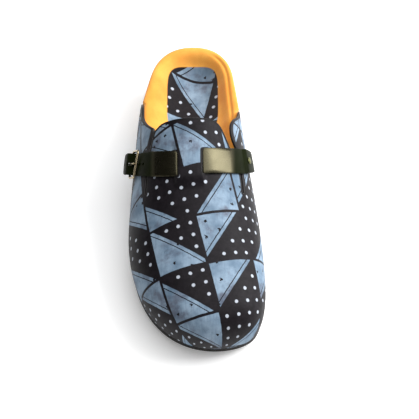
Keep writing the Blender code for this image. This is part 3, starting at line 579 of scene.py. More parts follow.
def round_toe(count, back):
    """Order of the columns, from the medial back round the toe to a lateral one: side, place."""
    return [(MEDIAL, i) for i in range(count)] + [(LATERAL, i) for i in range(count - 2, back - 1, -1)]


def weave(columns, closed):
    """Rows of columns of keyed rows, each key once, and the faces between neighbouring columns."""
    rows, index, lines, faces = [], {}, [], []
    for column in columns:
        for key, row in column:
            if key not in index:
                index[key] = len(rows)
                rows.append(row)
        lines.append([index[key] for key, _ in column])
    if closed:
        lines.append(lines[0])
    for left, right in zip(lines, lines[1:]):
        for k in range(len(left) - 1):
            corners = (left[k], right[k], right[k + 1], left[k + 1])
            faces.append([c for j, c in enumerate(corners) if c not in corners[:j]])
    return rows, faces


def loft_round_crest(name, profile, paints):
    """Closed solid from profiles round the outline, each from the crest line's underside to its top.

    A profile is a list of inset and height pairs, where no inset means a point on the crest line.
    """
    stations = crest_stations(CREST_HEEL)
    columns = []
    for side, i in round_toe(len(stations), 1):
        edge, inward, reach = plan_column(side, stations[i])
        column = []
        for k, (inset, height) in enumerate(profile(side, stations[i], edge[1], reach)):
            plan = edge + inward * (reach if inset is None else inset)
            key = ("crest" if inset is None else side, i, k)
            column.append((key, (plan[0], plan[1], height)))
        columns.append(column)
    return mesh_object(name, *weave(columns, True), paints)


# Sole and footbed

def outsole_profile(side, station, edge_station, reach):
    bottom = sole_bottom(edge_station)
    top = sole_top(edge_station)
    rows = [(None, sole_bottom(station)), (SOLE_FOOT_INSET, bottom)]
    for part, ribs in SOLE_SIDE:
        rows.append((SOLE_EDGE_INSET + ribs * SOLE_RIB, bottom + part * (top - bottom)))
    rows.append((None, sole_top(station)))
    return rows


def tread_cutter(name, station):
    """Bowed groove across the underside of the sole."""
    points = []
    for i in range(TREAD_SEGMENTS + 1):
        side = TREAD_REACH * (2 * i / TREAD_SEGMENTS - 1)
        middle = station + TREAD_BOW * (1 - (side / TREAD_REACH) ** 2)
        for offset, height in TREAD_SECTION:
            points.append((side, middle + offset * TREAD_WIDTH, height))
    return mesh_object(name, points, sleeve_faces(TREAD_SEGMENTS + 1, len(TREAD_SECTION)))


def build_outsole():
    sole = loft_round_crest("sole_rubber_tread", outsole_profile, [rubber_paint()])
    grooves = list(np.arange(TREAD_HEEL_START, TREAD_HEEL_END, TREAD_PITCH))
    grooves += list(np.arange(TREAD_BALL_START, TREAD_BALL_END, TREAD_PITCH))
    cut(sole, [tread_cutter(f"tread_groove_{i}", station) for i, station in enumerate(grooves)])
    return piece(sole, "outsole")


def seat_part(side, edge_station, run=SEAT_RUN):
    """How far the footbed's edge has gone from the outline, at the heel, to inside the upper's wall."""
    end = UPPER_BACK[side] + SEAT_UNDER
    return smooth_step(end - run, end, edge_station)


def wall_thickness(side, station):
    """Thickness of the upper's wall, pared down towards the back edges of the wings."""
    full = smooth_step(0.0, SKIVE_RUN, station - UPPER_BACK[side])
    return WALL * (SKIVE_SHARE + (1 - SKIVE_SHARE) * full)


def inside_wall(side, station, edge_station, reach, height):
    """Inset of the footbed's edge where the upper wraps it."""
    wall = WALL_LEVEL_SHARE * wall_thickness(side, edge_station)
    return wall_inset(station, edge_station, reach, height) + wall + JOINT_GAP


def bed_profile(side, station, edge_station, reach, drop):
    """Top of the footbed from its rim to the crest line, lowered by a drop."""
    rim = rim_height[side](edge_station) - drop
    bed = bed_height(station) - drop
    seat = inside_wall(side, station, edge_station, reach, rim + drop)
    edge = seat_part(side, edge_station) * seat
    inner = seat_part(side, edge_station, CUP_RUN) * seat + RIM_WIDTH
    inner_height = rim - RIM_INNER_DROP * RIM_ROUND
    rows = [(edge + inset * RIM_ROUND, rim - fall * RIM_ROUND) for inset, fall in RIM_SECTION]
    rows.append((inner, inner_height))
    for part in CUP_STEPS:
        inset = inner + part * (reach - inner)
        rows.append((inset, bed + (inner_height - bed) * (1 - part) ** CUP_POWER))
    rows.append((None, bed))
    return rows


def cork_profile(side, station, edge_station, reach):
    top = bed_profile(side, station, edge_station, reach, LINING_THICKNESS + JOINT_GAP)
    seated = seat_part(side, edge_station)
    base = hem_height(edge_station)
    rim = top[0][1]
    rows = [(None, hem_height(station))]
    for part, hem_part in CORK_SIDE:
        height = base + part * (rim - base)
        foot = (1 - seated) * CORK_FOOT_TAPER * (1 - part) ** 2 + seated * hem_part * WALL
        rows.append((seated * inside_wall(side, station, edge_station, reach, height) + foot, height))
    return rows + top


def crease_drop(side, edge_station, inset, seat):
    """Depth of the soft crease along the foot of the medial cup wall."""
    if side == LATERAL:
        return 0.0
    along = plateau(*CREASE_STATIONS, edge_station)
    return CREASE_DEPTH * along * math.exp(-((inset - CREASE_INSET - seat) / CREASE_HALF) ** 2)


def lining_profile(side, station, edge_station, reach):
    """Skin over the footbed: its underside, then its top along a smooth curve through the bed's rows."""
    under = bed_profile(side, station, edge_station, reach, LINING_THICKNESS)
    over = bed_profile(side, station, edge_station, reach, 0.0)
    top = plan_curve(over[:-1] + [(reach, over[-1][1])], PROFILE_STEPS)
    seat = inside_wall(side, station, edge_station, reach, over[2][1])
    seat *= seat_part(side, edge_station, CUP_RUN)
    rows = [(inset, height - crease_drop(side, edge_station, inset, seat)) for inset, height in top]
    return under[::-1] + rows[:-1] + [over[-1]]


# Upper

def wing_station(side, station):
    """Station of a column on one side, moved so that each wing starts at its own back edge."""
    even = min((station - UPPER_BACK[LATERAL]) / (UPPER_BACK_EVEN - UPPER_BACK[LATERAL]), 1.0)
    return station + (1 - even) * (UPPER_BACK[side] - UPPER_BACK[LATERAL])


def rise_of(points):
    """Rise of a point, or of each row of points."""
    return points[..., 1] * math.sin(INSTEP_LEAN) - points[..., 2] * math.cos(INSTEP_LEAN)


def polygon_gap(points, outline):
    """Distance of plan points from a closed outline, negative inside it."""
    starts = np.array(outline)
    ends = np.roll(starts, -1, axis=0)
    run = ends - starts
    offset = points[:, None] - starts
    share = np.clip((offset * run).sum(2) / (run * run).sum(1), 0.0, 1.0)
    nearest = np.linalg.norm(offset - share[..., None] * run, axis=2).min(1)
    across, along = points[:, None, 0], points[:, None, 1]
    crossed = (starts[:, 1] > along) != (ends[:, 1] > along)
    slope = run[:, 0] / np.where(run[:, 1] == 0, 1.0, run[:, 1])
    inside = (crossed & (across < starts[:, 0] + (along - starts[:, 1]) * slope)).sum(1) % 2 == 1
    return np.where(inside, -nearest, nearest)


def ribbon_outline(middle, width):
    """Outline of a narrow cut along a middle line."""
    path = np.array(middle)
    along = np.gradient(path, axis=0)
    along /= np.linalg.norm(along, axis=1)[:, None]
    across = np.column_stack((-along[:, 1], along[:, 0])) * width / 2
    return [*(path + across), *(path - across)[::-1]]


def strap_middle(side):
    """Rise of the middle of the strap, which steps back on its way under the bridge of the tongue."""
    return STRAP_RISE + STRAP_SHIFT * (0.5 - smooth_step(*STRAP_SHIFT_SIDES, side))


def slot_outline(near, far):
    half = STRAP_WIDTH / 2 + SLOT_END_CLEARANCE
    corners = ((near, -half), (far, -half), (far, half), (near, half))
    return [(side, strap_middle(side) + end) for side, end in corners]


@functools.lru_cache(maxsize=None)
def cut_outlines():
    """The throat, the two slits and the two slots of the strap: side, rise."""
    throat = []
    for edge in (LATERAL_WING_EDGE, TONGUE_EDGE, MEDIAL_WING_EDGE):
        throat += plan_curve(edge, EDGE_STEPS)
    throat += [(MEDIAL_WING_EDGE[-1][0], CUT_BACK), (LATERAL_WING_EDGE[0][0], CUT_BACK)]
    cuts = [throat]
    for line in (LATERAL_SLIT, MEDIAL_SLIT):
        cuts.append(ribbon_outline(plan_curve(line, EDGE_STEPS), SLIT_WIDTH))
    for bridge, way in ((BRIDGE_LATERAL, -1), (BRIDGE_MEDIAL, 1)):
        cuts.append(slot_outline(bridge, bridge + way * SLOT_WIDTH))
    return cuts


def cut_gap(points):
    """Distance of points from the nearest cut, seen square to the instep, negative inside a cut."""
    seen = np.column_stack((points[:, 0], rise_of(points)))
    return np.min([polygon_gap(seen, outline) for outline in cut_outlines()], axis=0) - EDGE_ROUND


def bridge_swell(point):
    """How far the strap lifts the bridge of the tongue that it passes under."""
    ends = (BRIDGE_LATERAL - SLOT_WIDTH, BRIDGE_LATERAL, BRIDGE_MEDIAL, BRIDGE_MEDIAL + SLOT_WIDTH)
    half = STRAP_WIDTH / 2
    off = abs(rise_of(point) - strap_middle(point[0]))
    return BRIDGE_SWELL * plateau(*ends, point[0]) * (1 - smooth_step(half, half + BRIDGE_FADE, off))


def upper_sheet():
    """Outer face of the upper: rows of point, place on the flat leather, wall and normal, and faces."""
    stations = crest_stations(UPPER_BACK[LATERAL])
    angles = [*np.linspace(-90.0, 0.0, HEM_ROWS + 1)[:-1], *np.linspace(0.0, 90.0, VAMP_ROWS + 1)]
    crest = np.array([(crest_side(s), s, crest_height(s)) for s in stations])
    crest_run = stations[0] + run_lengths(crest)
    lift = np.array((0.0, math.cos(INSTEP_LEAN), math.sin(INSTEP_LEAN)))
    columns = []
    for side, i in round_toe(len(stations), 0):
        station = wing_station(side, stations[i])
        run = np.array([upper_point(side, station, angle) for angle in angles])
        from_crest = run_lengths(run[::-1])[::-1]
        outward = -plan_column(side, station)[1]
        start = np.array((crest[i][0], crest_run[i]))
        column = []
        for k, point in enumerate(run):
            key = ("crest", i) if k == len(run) - 1 else (side, i, k)
            flat = start + outward * from_crest[k]
            point = point + lift * bridge_swell(point)
            column.append((key, (*point, *flat, wall_thickness(side, station))))
        columns.append(column)
    rows, faces = weave(columns, False)
    rows = np.array(rows)
    return np.hstack([rows, point_normals(rows[:, :3], faces)]), faces


def point_normals(points, faces):
    """Unit normals at the points of a sheet, on the side that its faces turn to."""
    normals = np.zeros_like(points)
    for face in faces:
        a, b, c, d = points[[face[0], face[1], face[2], face[-1]]]
        normals[face] += np.cross(c - a, d - b) if len(face) == 4 else np.cross(b - a, c - a)
    return normals / np.linalg.norm(normals, axis=1)[:, None]


def face_edges(face):
    return zip(face, face[1:] + face[:1])


def edge_crossings(rows, gaps, faces):
    """Edges that leave the leather, from a kept to a cut point, and how far along them the cut lies."""
    edges = set()
    for face in faces:
        for a, b in face_edges(face):
            if gaps[a] * gaps[b] < 0:
                edges.add((a, b) if gaps[a] > 0 else (b, a))
    edges = np.array(sorted(edges))
    low = np.zeros(len(edges))
    high = np.ones(len(edges))
    start, end = rows[edges[:, 0], :3], rows[edges[:, 1], :3]
    for _ in range(ROOT_STEPS):
        middle = (low + high) / 2
        kept = cut_gap(start + (end - start) * middle[:, None]) > 0
        low = np.where(kept, middle, low)
        high = np.where(kept, high, middle)
    return edges, (low + high) / 2


def clip_sheet(rows, faces):
    """Cuts a sheet's rows, whose first three columns are its points, and its faces along the cuts."""
    gaps = cut_gap(rows[:, :3])
    edges, shares = edge_crossings(rows, gaps, faces)
    moved = rows.copy()
    for (a, b), share in sorted(zip(map(tuple, edges), shares), key=lambda e: min(e[1], 1 - e[1])):
        near = a if share < 0.5 else b
        if min(share, 1 - share) < SNAP_SHARE and gaps[near] != 0:
            moved[near] = rows[a] + (rows[b] - rows[a]) * share
            gaps[near] = 0
    rows = moved
    edges, shares = edge_crossings(rows, gaps, faces)
    crossing = {tuple(edge): len(rows) + i for i, edge in enumerate(edges)}
    added = rows[edges[:, 0]] + (rows[edges[:, 1]] - rows[edges[:, 0]]) * shares[:, None]
    kept_faces = []
    for face in faces:
        if max(gaps[face]) <= 0:
            continue
        kept = []
        for a, b in face_edges(face):
            if gaps[a] >= 0:
                kept.append(a)
            kept += [crossing[edge] for edge in ((a, b), (b, a)) if edge in crossing]
        if len(kept) > 2:
            kept_faces.append(kept)
    rows = np.vstack([rows, added])
    on_cut = np.concatenate([gaps == 0, np.ones(len(added), bool)])
    used = sorted({i for face in kept_faces for i in face})
    place = {old: new for new, old in enumerate(used)}
    return rows[used], [[place[i] for i in face] for face in kept_faces], on_cut[used]


def boundary_links(faces):
    """Next and previous point round the open edges of a sheet."""
    edges = {edge for face in faces for edge in face_edges(face)}
    after = {a: b for a, b in edges if (b, a) not in edges}
    return after, {b: a for a, b in after.items()}


def build_upper():
    """Leather wall: printed outer face, lining inside, and rounded edges painted dark."""
    rows, faces, on_cut = clip_sheet(*upper_sheet())
    outer, flats, walls, normals = np.split(rows, (3, 5, 6), axis=1)
    normals = normals / np.linalg.norm(normals, axis=1)[:, None]
    count = len(outer)
    after, before = boundary_links(faces)
    mesh_faces = faces + [[i + count for i in face[::-1]] for face in faces]
    ids = [0] * len(faces) + [1] * len(faces)
    rims, sources, arcs = {}, [], []
    for i in after:
        along = outer[after[i]] - outer[before[i]]
        out = np.cross(along, normals[i])
        out /= np.linalg.norm(out)
        reach = EDGE_ROUND if on_cut[i] else HEM_ROUND
        first = 2 * count + len(arcs)
        rims[i] = [i, *range(first, first + EDGE_ARC - 1), i + count]
        for turn in np.arange(1, EDGE_ARC) * math.pi / EDGE_ARC:
            depth = walls[i] / 2 * (1 - math.cos(turn))
            sources.append(i)
            arcs.append(outer[i] - normals[i] * depth + out * reach * math.sin(turn))
    for i, j in after.items():
        for k in range(EDGE_ARC):
            mesh_faces.append([rims[j][k], rims[i][k], rims[i][k + 1], rims[j][k + 1]])
            ids.append(2)
    points = np.vstack([outer, outer - normals * walls, arcs])
    flats = np.vstack([flats, flats, flats[sources]])
    edge_gap = np.concatenate([cut_gap(outer), cut_gap(outer), np.zeros(len(arcs))])
    paints = [print_paint(), wall_lining_paint(), edge_paint()]
    upper = mesh_object("leather_upper", points, mesh_faces, paints)
    upper.data.polygons.foreach_set("material_index", ids)
    flat = upper.data.attributes.new("flat", "FLOAT_VECTOR", "POINT")
    flat.data.foreach_set("vector", np.column_stack([flats, edge_gap]).astype(np.float32).ravel())
    return piece(upper, "upper")


# Strap and buckle

BuckleAxes = collections.namedtuple("BuckleAxes", "low along up out bar_distance")


def strap_miss(point, offset):
    """How far a point lies in front of a line that runs beside the middle of the strap."""
    return rise_of(point) - strap_middle(point[0]) - offset


def surface_at_rise(side, angle, offset):
    """Point and outward normal of the upper's face on a line beside the middle of the strap."""
    station, before = STRAP_FIRST_GUESS
    miss_before = strap_miss(upper_point(side, before, angle), offset)
    for _ in range(SEARCH_STEPS):
        point = upper_point(side, station, angle)
        miss = strap_miss(point, offset)
        if abs(miss) < SEARCH_PRECISION:
            break
        rate = (station - before) / (miss - miss_before)
        before, miss_before = station, miss
        station -= rate * miss
    step = SLOPE_STEP
    along = upper_point(side, station + step, angle) - upper_point(side, station - step, angle)
    if angle < 90 - step:
        across = upper_point(side, station, angle + step) - upper_point(side, station, angle - step)
    else:
        across = point - upper_point(side, station, angle - step)
    normal = np.cross(along, across)
    if normal @ (point - np.array((crest_side(station), station, 0.0))) < 0:
        normal = -normal
    return point, normal / np.linalg.norm(normal)


@functools.lru_cache(maxsize=None)
def strap_line(side, offset):
    """Lengths from the crest, points and normals along a line beside the middle of the strap."""
    pairs = [surface_at_rise(side, a, offset) for a in np.linspace(90.0, 0.0, STRAP_LINE_STEPS)]
    path = np.array([point for point, _ in pairs])
    return run_lengths(path), path, np.array([normal for _, normal in pairs])


def length_at_height(side, height):
    """Length down the middle of the strap, from the crest to a height."""
    lengths, path, _ = strap_line(side, 0.0)
    return float(np.interp(-height, -path[:, 2], lengths))


def length_at_side(side, distance):
    """Length down the middle of the strap, from the crest to a distance beside it."""
    lengths, path, _ = strap_line(side, 0.0)
    return float(np.interp(abs(distance), np.abs(path[:, 0]), lengths))


def strap_point(side, length, offset):
    """Point and normal of the upper's face, at a length down the strap and an offset from its middle."""
    point = np.zeros(3)
    normal = np.zeros(3)
    for at in LINE_OFFSETS:
        weight = math.prod((offset - other) / (at - other) for other in LINE_OFFSETS if other != at)
        lengths, path, normals = strap_line(side, at)
        for total, line in ((point, path), (normal, normals)):
            total += weight * np.array([np.interp(length, lengths, column) for column in line.T])
    return point, normal / np.linalg.norm(normal)


def even_lengths(first, last, step):
    return [float(v) for v in np.linspace(first, last, int(round(abs(last - first) / step)) + 1)]


def band_section(half, low, high):
    """Section of a band with rounded edges and a slightly crowned face: offset, depth."""
    edge = min(STRAP_EDGE, half / 2)
    middle, thick = (low + high) / 2, (high - low) / 2
    turns = [math.radians(t) for t in np.linspace(90.0, -90.0, BAND_ARC + 2)[1:-1]]
    section = []
    for share in np.linspace(-1.0, 1.0, BAND_FACE):
        section.append((share * (half - edge), high + STRAP_CROWN * (1 - share ** 2)))
    section += [(half - edge + edge * math.cos(t), middle + thick * math.sin(t)) for t in turns]
    section += [(share * (half - edge), low) for share in np.linspace(1.0, -1.0, BAND_FACE)]
    section += [(edge - half - edge * math.cos(t), middle + thick * math.sin(t)) for t in turns[::-1]]
    return section


def band_solid(name, stops, half_width, layers, paints):
    """Closed band over the upper: stops of side and length, and its width and layers at each of them."""
    points = []
    for side, length in stops:
        middle = strap_point(side, length, 0.0)[0]
        for offset, depth in band_section(half_width(side, middle), *layers(side, middle)):
            point, normal = strap_point(side, length, offset)
            points.append(point + normal * depth)
    return mesh_object(name, points, sleeve_faces(len(stops), len(points) // len(stops)), paints)


def strap_layers(side, point):
    """Distances of the strap's two faces from the upper's outer face."""
    lateral = (BRIDGE_LATERAL - DIP_START, BRIDGE_LATERAL - DIP_END)
    medial = (BRIDGE_MEDIAL + DIP_END, BRIDGE_MEDIAL + DIP_START)
    low = STRAP_LIFT - plateau(*lateral, *medial, point[0]) * STRAP_DIP
    thickness = STRAP_THICKNESS
    if side == MEDIAL:
        fold = 1 - smooth_step(STRAP_MEDIAL_FOLD - STRAP_FOLD_RUN, STRAP_MEDIAL_FOLD, point[2])
        thickness += fold * (STRAP_FOLD_THICKNESS - STRAP_THICKNESS)
    else:
        margin = 2 * BAR_RADIUS
        over = 1 - smooth_step(LOWER_BAR_HEIGHT + margin, UPPER_BAR_HEIGHT - margin, point[2])
        low += over * (LOOP_TOP + JOINT_GAP - STRAP_LIFT)
    return low, low + thickness


def strap_half_width(side, point):
    """Half the strap's width: narrower at the buckle and towards its two ends, with rounded corners."""
    if side == MEDIAL:
        start, end = STRAP_MEDIAL_FOLD, STRAP_MEDIAL_END
        taper = 0.0
    else:
        start, end = UPPER_BAR_HEIGHT, STRAP_LATERAL_END
        taper = STRAP_TAPER * smooth_step(start + STRAP_TAPER_RUN, start, point[2])
    taper += STRAP_TIP_TAPER[side] * clamped((start - point[2]) / (start - end))
    left = clamped((point[2] - end) / STRAP_CORNER)
    return STRAP_WIDTH / 2 - taper - STRAP_CORNER * (1 - math.sqrt(1 - (1 - left) ** 2))


def strap_stops():
    """Stops along the strap from its medial end over the crest to its lateral end."""
    runs = {}
    for side, bridge, end in (
        (MEDIAL, BRIDGE_MEDIAL, STRAP_MEDIAL_END),
        (LATERAL, -BRIDGE_LATERAL, STRAP_LATERAL_END),
    ):
        dip = [length_at_side(side, bridge + d) for d in (DIP_END, DIP_START)]
        corner = length_at_height(side, end + STRAP_CORNER)
        lengths = even_lengths(0.0, dip[0], STRAP_STEP)[:-1]
        lengths += even_lengths(*dip, STRAP_FINE_STEP)
        lengths += even_lengths(dip[1], corner, STRAP_STEP)[1:]
        lengths += even_lengths(corner, length_at_height(side, end), STRAP_FINE_STEP)[1:]
        runs[side] = lengths
    medial = [(MEDIAL, length) for length in runs[MEDIAL][::-1]]
    return medial + [(LATERAL, length) for length in runs[LATERAL][1:]]


@functools.lru_cache(maxsize=None)
def buckle_axes():
    """Middle of the lower bar, directions along it, up the wing and outwards, and the bars' distance."""
    middles = []
    for height, depth in ((LOWER_BAR_HEIGHT, LOWER_BAR_DEPTH), (UPPER_BAR_HEIGHT, UPPER_BAR_DEPTH)):
        length = length_at_height(LATERAL, height)
        point, normal = strap_point(LATERAL, length, 0.0)
        middles.append(point + normal * depth)
    front, back = (strap_point(LATERAL, length, end * STRAP_WIDTH / 2)[0] for end in (1, -1))
    bar_distance = np.linalg.norm(middles[1] - middles[0])
    up = (middles[1] - middles[0]) / bar_distance
    along = front - back
    along -= up * (along @ up)
    along /= np.linalg.norm(along)
    out = np.cross(along, up)
    if out[0] > 0:
        out = -out
    return BuckleAxes(middles[0], along, up, out, bar_distance)


def ring(centre, axis, aside, radius, sides):
    """Points of a circle round an axis, the first of them square to the axis and to another direction."""
    first = np.cross(axis, aside)
    first /= np.linalg.norm(first)
    second = np.cross(axis, first)
    turns = [2 * math.pi * k / sides for k in range(sides)]
    return [centre + radius * (first * math.cos(turn) + second * math.sin(turn)) for turn in turns]


def tube(name, path, radii, paints=(), closed=False):
    """Round tube along a path, with a radius at each point, with flat ends or closed on itself."""
    count = len(path)
    points = []
    for i, point in enumerate(path):
        before = path[i - 1] if closed or i > 0 else point
        after = path[(i + 1) % count] if closed or i < count - 1 else point
        along = (after - before) / np.linalg.norm(after - before)
        points += ring(point, along, buckle_axes().out, radii[i], ROUND_SIDES)
    return mesh_object(name, points, sleeve_faces(count, ROUND_SIDES, closed), paints)


def build_buckle():
    """Round wire frame: two bars across the strap, joined by short sides with rounded corners."""
    low, along, up, _, bar_distance = buckle_axes()
    half = STRAP_WIDTH / 2 - STRAP_TAPER + FRAME_CLEARANCE + BAR_RADIUS
    path = []
    for across, rise, start in ((1, 1, 0), (-1, 1, 90), (-1, 0, 180), (1, 0, 270)):
        centre = low + along * across * (half - FRAME_CORNER)
        centre = centre + up * (bar_distance - FRAME_CORNER if rise else FRAME_CORNER)
        for step in range(FRAME_CORNER_STEPS + 1):
            turn = math.radians(start + 90 * step / FRAME_CORNER_STEPS)
            path.append(centre + FRAME_CORNER * (along * math.cos(turn) + up * math.sin(turn)))
    obj = tube("buckle_wire_frame", path, [BAR_RADIUS] * len(path), [metal_paint()], True)
    return piece(obj, "buckle_frame")


def build_prong():
    """Straight prong with a rounded tip, from behind the lower bar to past the upper one."""
    low, _, up, out, bar_distance = buckle_axes()
    start = low + out * (BAR_RADIUS + JOINT_GAP + PRONG_RADIUS) - up * PRONG_RADIUS
    reach = up * (bar_distance + 3 * PRONG_RADIUS)
    shares = np.sin(np.linspace(0.0, math.pi / 2, PRONG_STEPS + 1))
    length = np.linalg.norm(reach)
    radii = []
    for share in shares:
        left = min(share, 1 - share) * length / PRONG_RADIUS
        radii.append(PRONG_RADIUS * math.sqrt(max(1 - max(1 - left, 0.0) ** 2, PRONG_TIP_SHARE)))
    obj = tube("buckle_pin", [start + reach * s for s in shares], radii, [metal_paint()])
    return piece(obj, "buckle_prong")


def buckle_box(name, width, rises, depths):
    """Box cutter at the buckle: its width, and its reach from the lower bar up the wing and outwards."""
    low, along, up, out, _ = buckle_axes()
    points = []
    for depth in depths:
        for across, rise in ((-0.5, rises[0]), (0.5, rises[0]), (0.5, rises[1]), (-0.5, rises[1])):
            points.append(low + along * across * width + up * rise + out * depth)
    return mesh_object(name, points, sleeve_faces(2, 4))


def build_tab():
    """Leather tab on the lateral wing, whose loop holds the lower bar of the buckle."""
    axes = buckle_axes()
    first = length_at_height(LATERAL, LOWER_BAR_HEIGHT + BAR_RADIUS)
    stops = even_lengths(first, length_at_height(LATERAL, TAB_LOW_END), STRAP_STEP)
    tab = band_solid(
        "buckle_leather_tab",
        [(LATERAL, length) for length in stops],
        lambda side, point: TAB_WIDTH / 2,
        lambda side, point: (STRAP_LIFT, STRAP_LIFT + TAB_THICKNESS),
        [strap_paint()],
    )
    bore = BAR_RADIUS + JOINT_GAP
    loop = bore + TAB_THICKNESS
    ends = [axes.low + axes.along * end * TAB_WIDTH / 2 for end in (-1, 1)]
    past = axes.along * loop
    cut(tab, [tube("tab_loop", ends, [loop - TAB_LOOP_TRIM] * 2)], "UNION")
    bore_tool = tube("tab_bore", [ends[0] - past, ends[1] + past], [bore] * 2)
    cut(tab, [bore_tool, buckle_box("tab_gap", PRONG_GAP, (-2 * loop, 2 * loop), (0.0, 2 * loop))])
    return piece(tab, "buckle_tab")


def hole_cutter(name, length):
    """Round punch through the strap, square to the upper's face."""
    point, normal = strap_point(LATERAL, length, 0.0)
    ends = [point - normal * STRAP_LIFT, point + normal * HOLE_DEPTH]
    return tube(name, ends, [HOLE_RADIUS] * 2)


def build_strap():
    strap = band_solid("metallic_strap", strap_stops(), strap_half_width, strap_layers, [strap_paint()])
    rises = [share * buckle_axes().bar_distance for share in PRONG_SLOT_SHARES]
    tools = [buckle_box("prong_slot", PRONG_SLOT_WIDTH, rises, PRONG_SLOT_DEPTHS)]
    bar = length_at_height(LATERAL, UPPER_BAR_HEIGHT)
    for i, step in enumerate(HOLE_LENGTHS_FROM_BAR):
        tools.append(hole_cutter(f"strap_hole_{i}", bar + step))
    return piece(cut(strap, tools), "strap")


def build_rivet():
    """Domed rivet head on the folded medial end of the strap."""
    point, normal = strap_point(MEDIAL, length_at_height(MEDIAL, RIVET_HEIGHT), 0.0)
    seat = point + normal * (STRAP_LIFT + STRAP_FOLD_THICKNESS + JOINT_GAP)
    profile = [(RIVET_RADIUS, 0.0)]
    for angle in np.linspace(math.pi / 2, 0.0, RIVET_STEPS + 1)[:-1]:
        share = RIVET_EDGE_SHARE + (1 - RIVET_EDGE_SHARE) * math.cos(angle)
        profile.append((RIVET_RADIUS * math.sin(angle), RIVET_DOME * share))
    points = []
    for radius, height in profile:
        points += ring(seat + normal * height, normal, (0.0, 0.0, 1.0), radius, RIVET_SIDES)
    obj = mesh_object("rivet_dome", points, sleeve_faces(len(profile), RIVET_SIDES), [rivet_paint()])
    return piece(obj, "rivet")


# Materials

def srgb(red, green, blue):
    """Colour from the 0 to 255 values that a picture shows."""
    linear = []
    for value in (red / 255, green / 255, blue / 255):
        linear.append(value / 12.92 if value <= 0.04045 else ((value + 0.055) / 1.055) ** 2.4)
    return (*linear, 1.0)


class Nodes:
    """Short ways to add nodes to the tree of a material or a world."""

    def __init__(self, owner):
        owner.use_nodes = True
        self.tree = owner.node_tree

    def put(self, socket, value):
        if isinstance(value, bpy.types.NodeSocket):
            self.tree.links.new(value, socket)
        else:
            socket.default_value = value

    def add(self, kind, inputs, output, **settings):
        """A node with inputs by name or place, and one of its outputs."""
        made = self.tree.nodes.new("ShaderNode" + kind)
        for key, value in settings.items():
            setattr(made, key, value)
        for key, value in inputs.items():
            self.put(made.inputs[key], value)
        return made.outputs[output]

    def math(self, operation, *values):
        return self.add("Math", dict(enumerate(values)), 0, operation=operation)

    def vector(self, operation, *values):
        output = "Value" if operation == "DISTANCE" else "Vector"
        return self.add("VectorMath", dict(enumerate(values)), output, operation=operation)

    def scaled(self, vector, scale):
        return self.add("VectorMath", {0: vector, "Scale": scale}, "Vector", operation="SCALE")

    def parts(self, vector):
        made = self.tree.nodes.new("ShaderNodeSeparateXYZ")
        self.put(made.inputs[0], vector)
        return made.outputs

    def place(self):
        """Place in the frame, in millimetres."""
        return self.scaled(self.add("TexCoord", {}, "Object"), 1 / MM)

    def noise(self, vector, scale, detail=2.0, roughness=0.5, output="Fac"):
        inputs = {"Vector": vector, "Scale": scale, "Detail": detail, "Roughness": roughness}
        return self.add("TexNoise", inputs, output)

    def shaken(self, vector, scale, detail, reach):
        """A vector that noise moves by up to half a reach each way."""
        away = self.vector("SUBTRACT", self.noise(vector, scale, detail, output="Color"), (0.5, 0.5, 0.5))
        return self.vector("ADD", vector, self.scaled(away, reach))

    def cells(self, vector, scale, output="Distance", feature="F1", flat=False):
        inputs = {"Vector": vector, "Scale": scale}
        settings = {"feature": feature, "voronoi_dimensions": "2D" if flat else "3D"}
        return self.add("TexVoronoi", inputs, output, **settings)

    def step(self, value, start, end):
        """Smooth step of a value from 0 at its start to 1 at its end."""
        inputs = {"Value": value, "From Min": start, "From Max": end}
        return self.add("MapRange", inputs, 0, interpolation_type="SMOOTHSTEP")

    def edge(self, value, place, soft):
        """Step of a value up at a place, or down where the softness is negative."""
        return self.step(value, place - soft, place + soft)

    def span(self, value, low, high):
        """A value from 0 to 1 spread from low to high."""
        return self.add("MapRange", {"Value": value, "To Min": low, "To Max": high}, 0)

    def mix(self, share, first, second):
        return self.add("Mix", {0: share, 6: first, 7: second}, 2, data_type="RGBA")

    def stain(self, base, field, start, end, share, colour):
        """A base with a share of a colour where a field steps up."""
        return self.mix(self.math("MULTIPLY", self.step(field, start, end), share), base, srgb(*colour))


class Paint(Nodes):
    """One procedural material."""

    def __init__(self, name, constants):
        self.material = bpy.data.materials.new(name)
        super().__init__(self.material)
        self.shader = self.tree.nodes["Principled BSDF"]
        for socket, value in constants.items():
            self.shader.inputs[socket].default_value = value

    def colour(self, value):
        self.put(self.shader.inputs["Base Color"], value)

    def roughness(self, value):
        self.put(self.shader.inputs["Roughness"], value)

    def bump(self, height, distance, strength):
        inputs = {"Height": height, "Distance": distance * MM, "Strength": strength}
        self.put(self.shader.inputs["Normal"], self.add("Bump", inputs, "Normal"))


def mottled_paint(name, constants, colours, patches, roughness, wear, grain=None):
    """Paint of two colours and a range of roughness, each in patches, with or without a grain.

    Patches and wear are the scale and detail of noise, and a grain has a depth and a strength too.
    """
    paint = Paint(name, constants)
    place = paint.place()
    paint.colour(paint.mix(paint.noise(place, *patches), *(srgb(*colour) for colour in colours)))
    paint.roughness(paint.span(paint.noise(place, *wear), *roughness))
    if grain:
        scale, detail, depth, strength = grain
        paint.bump(paint.noise(place, scale, detail), depth, strength)
    return paint.material


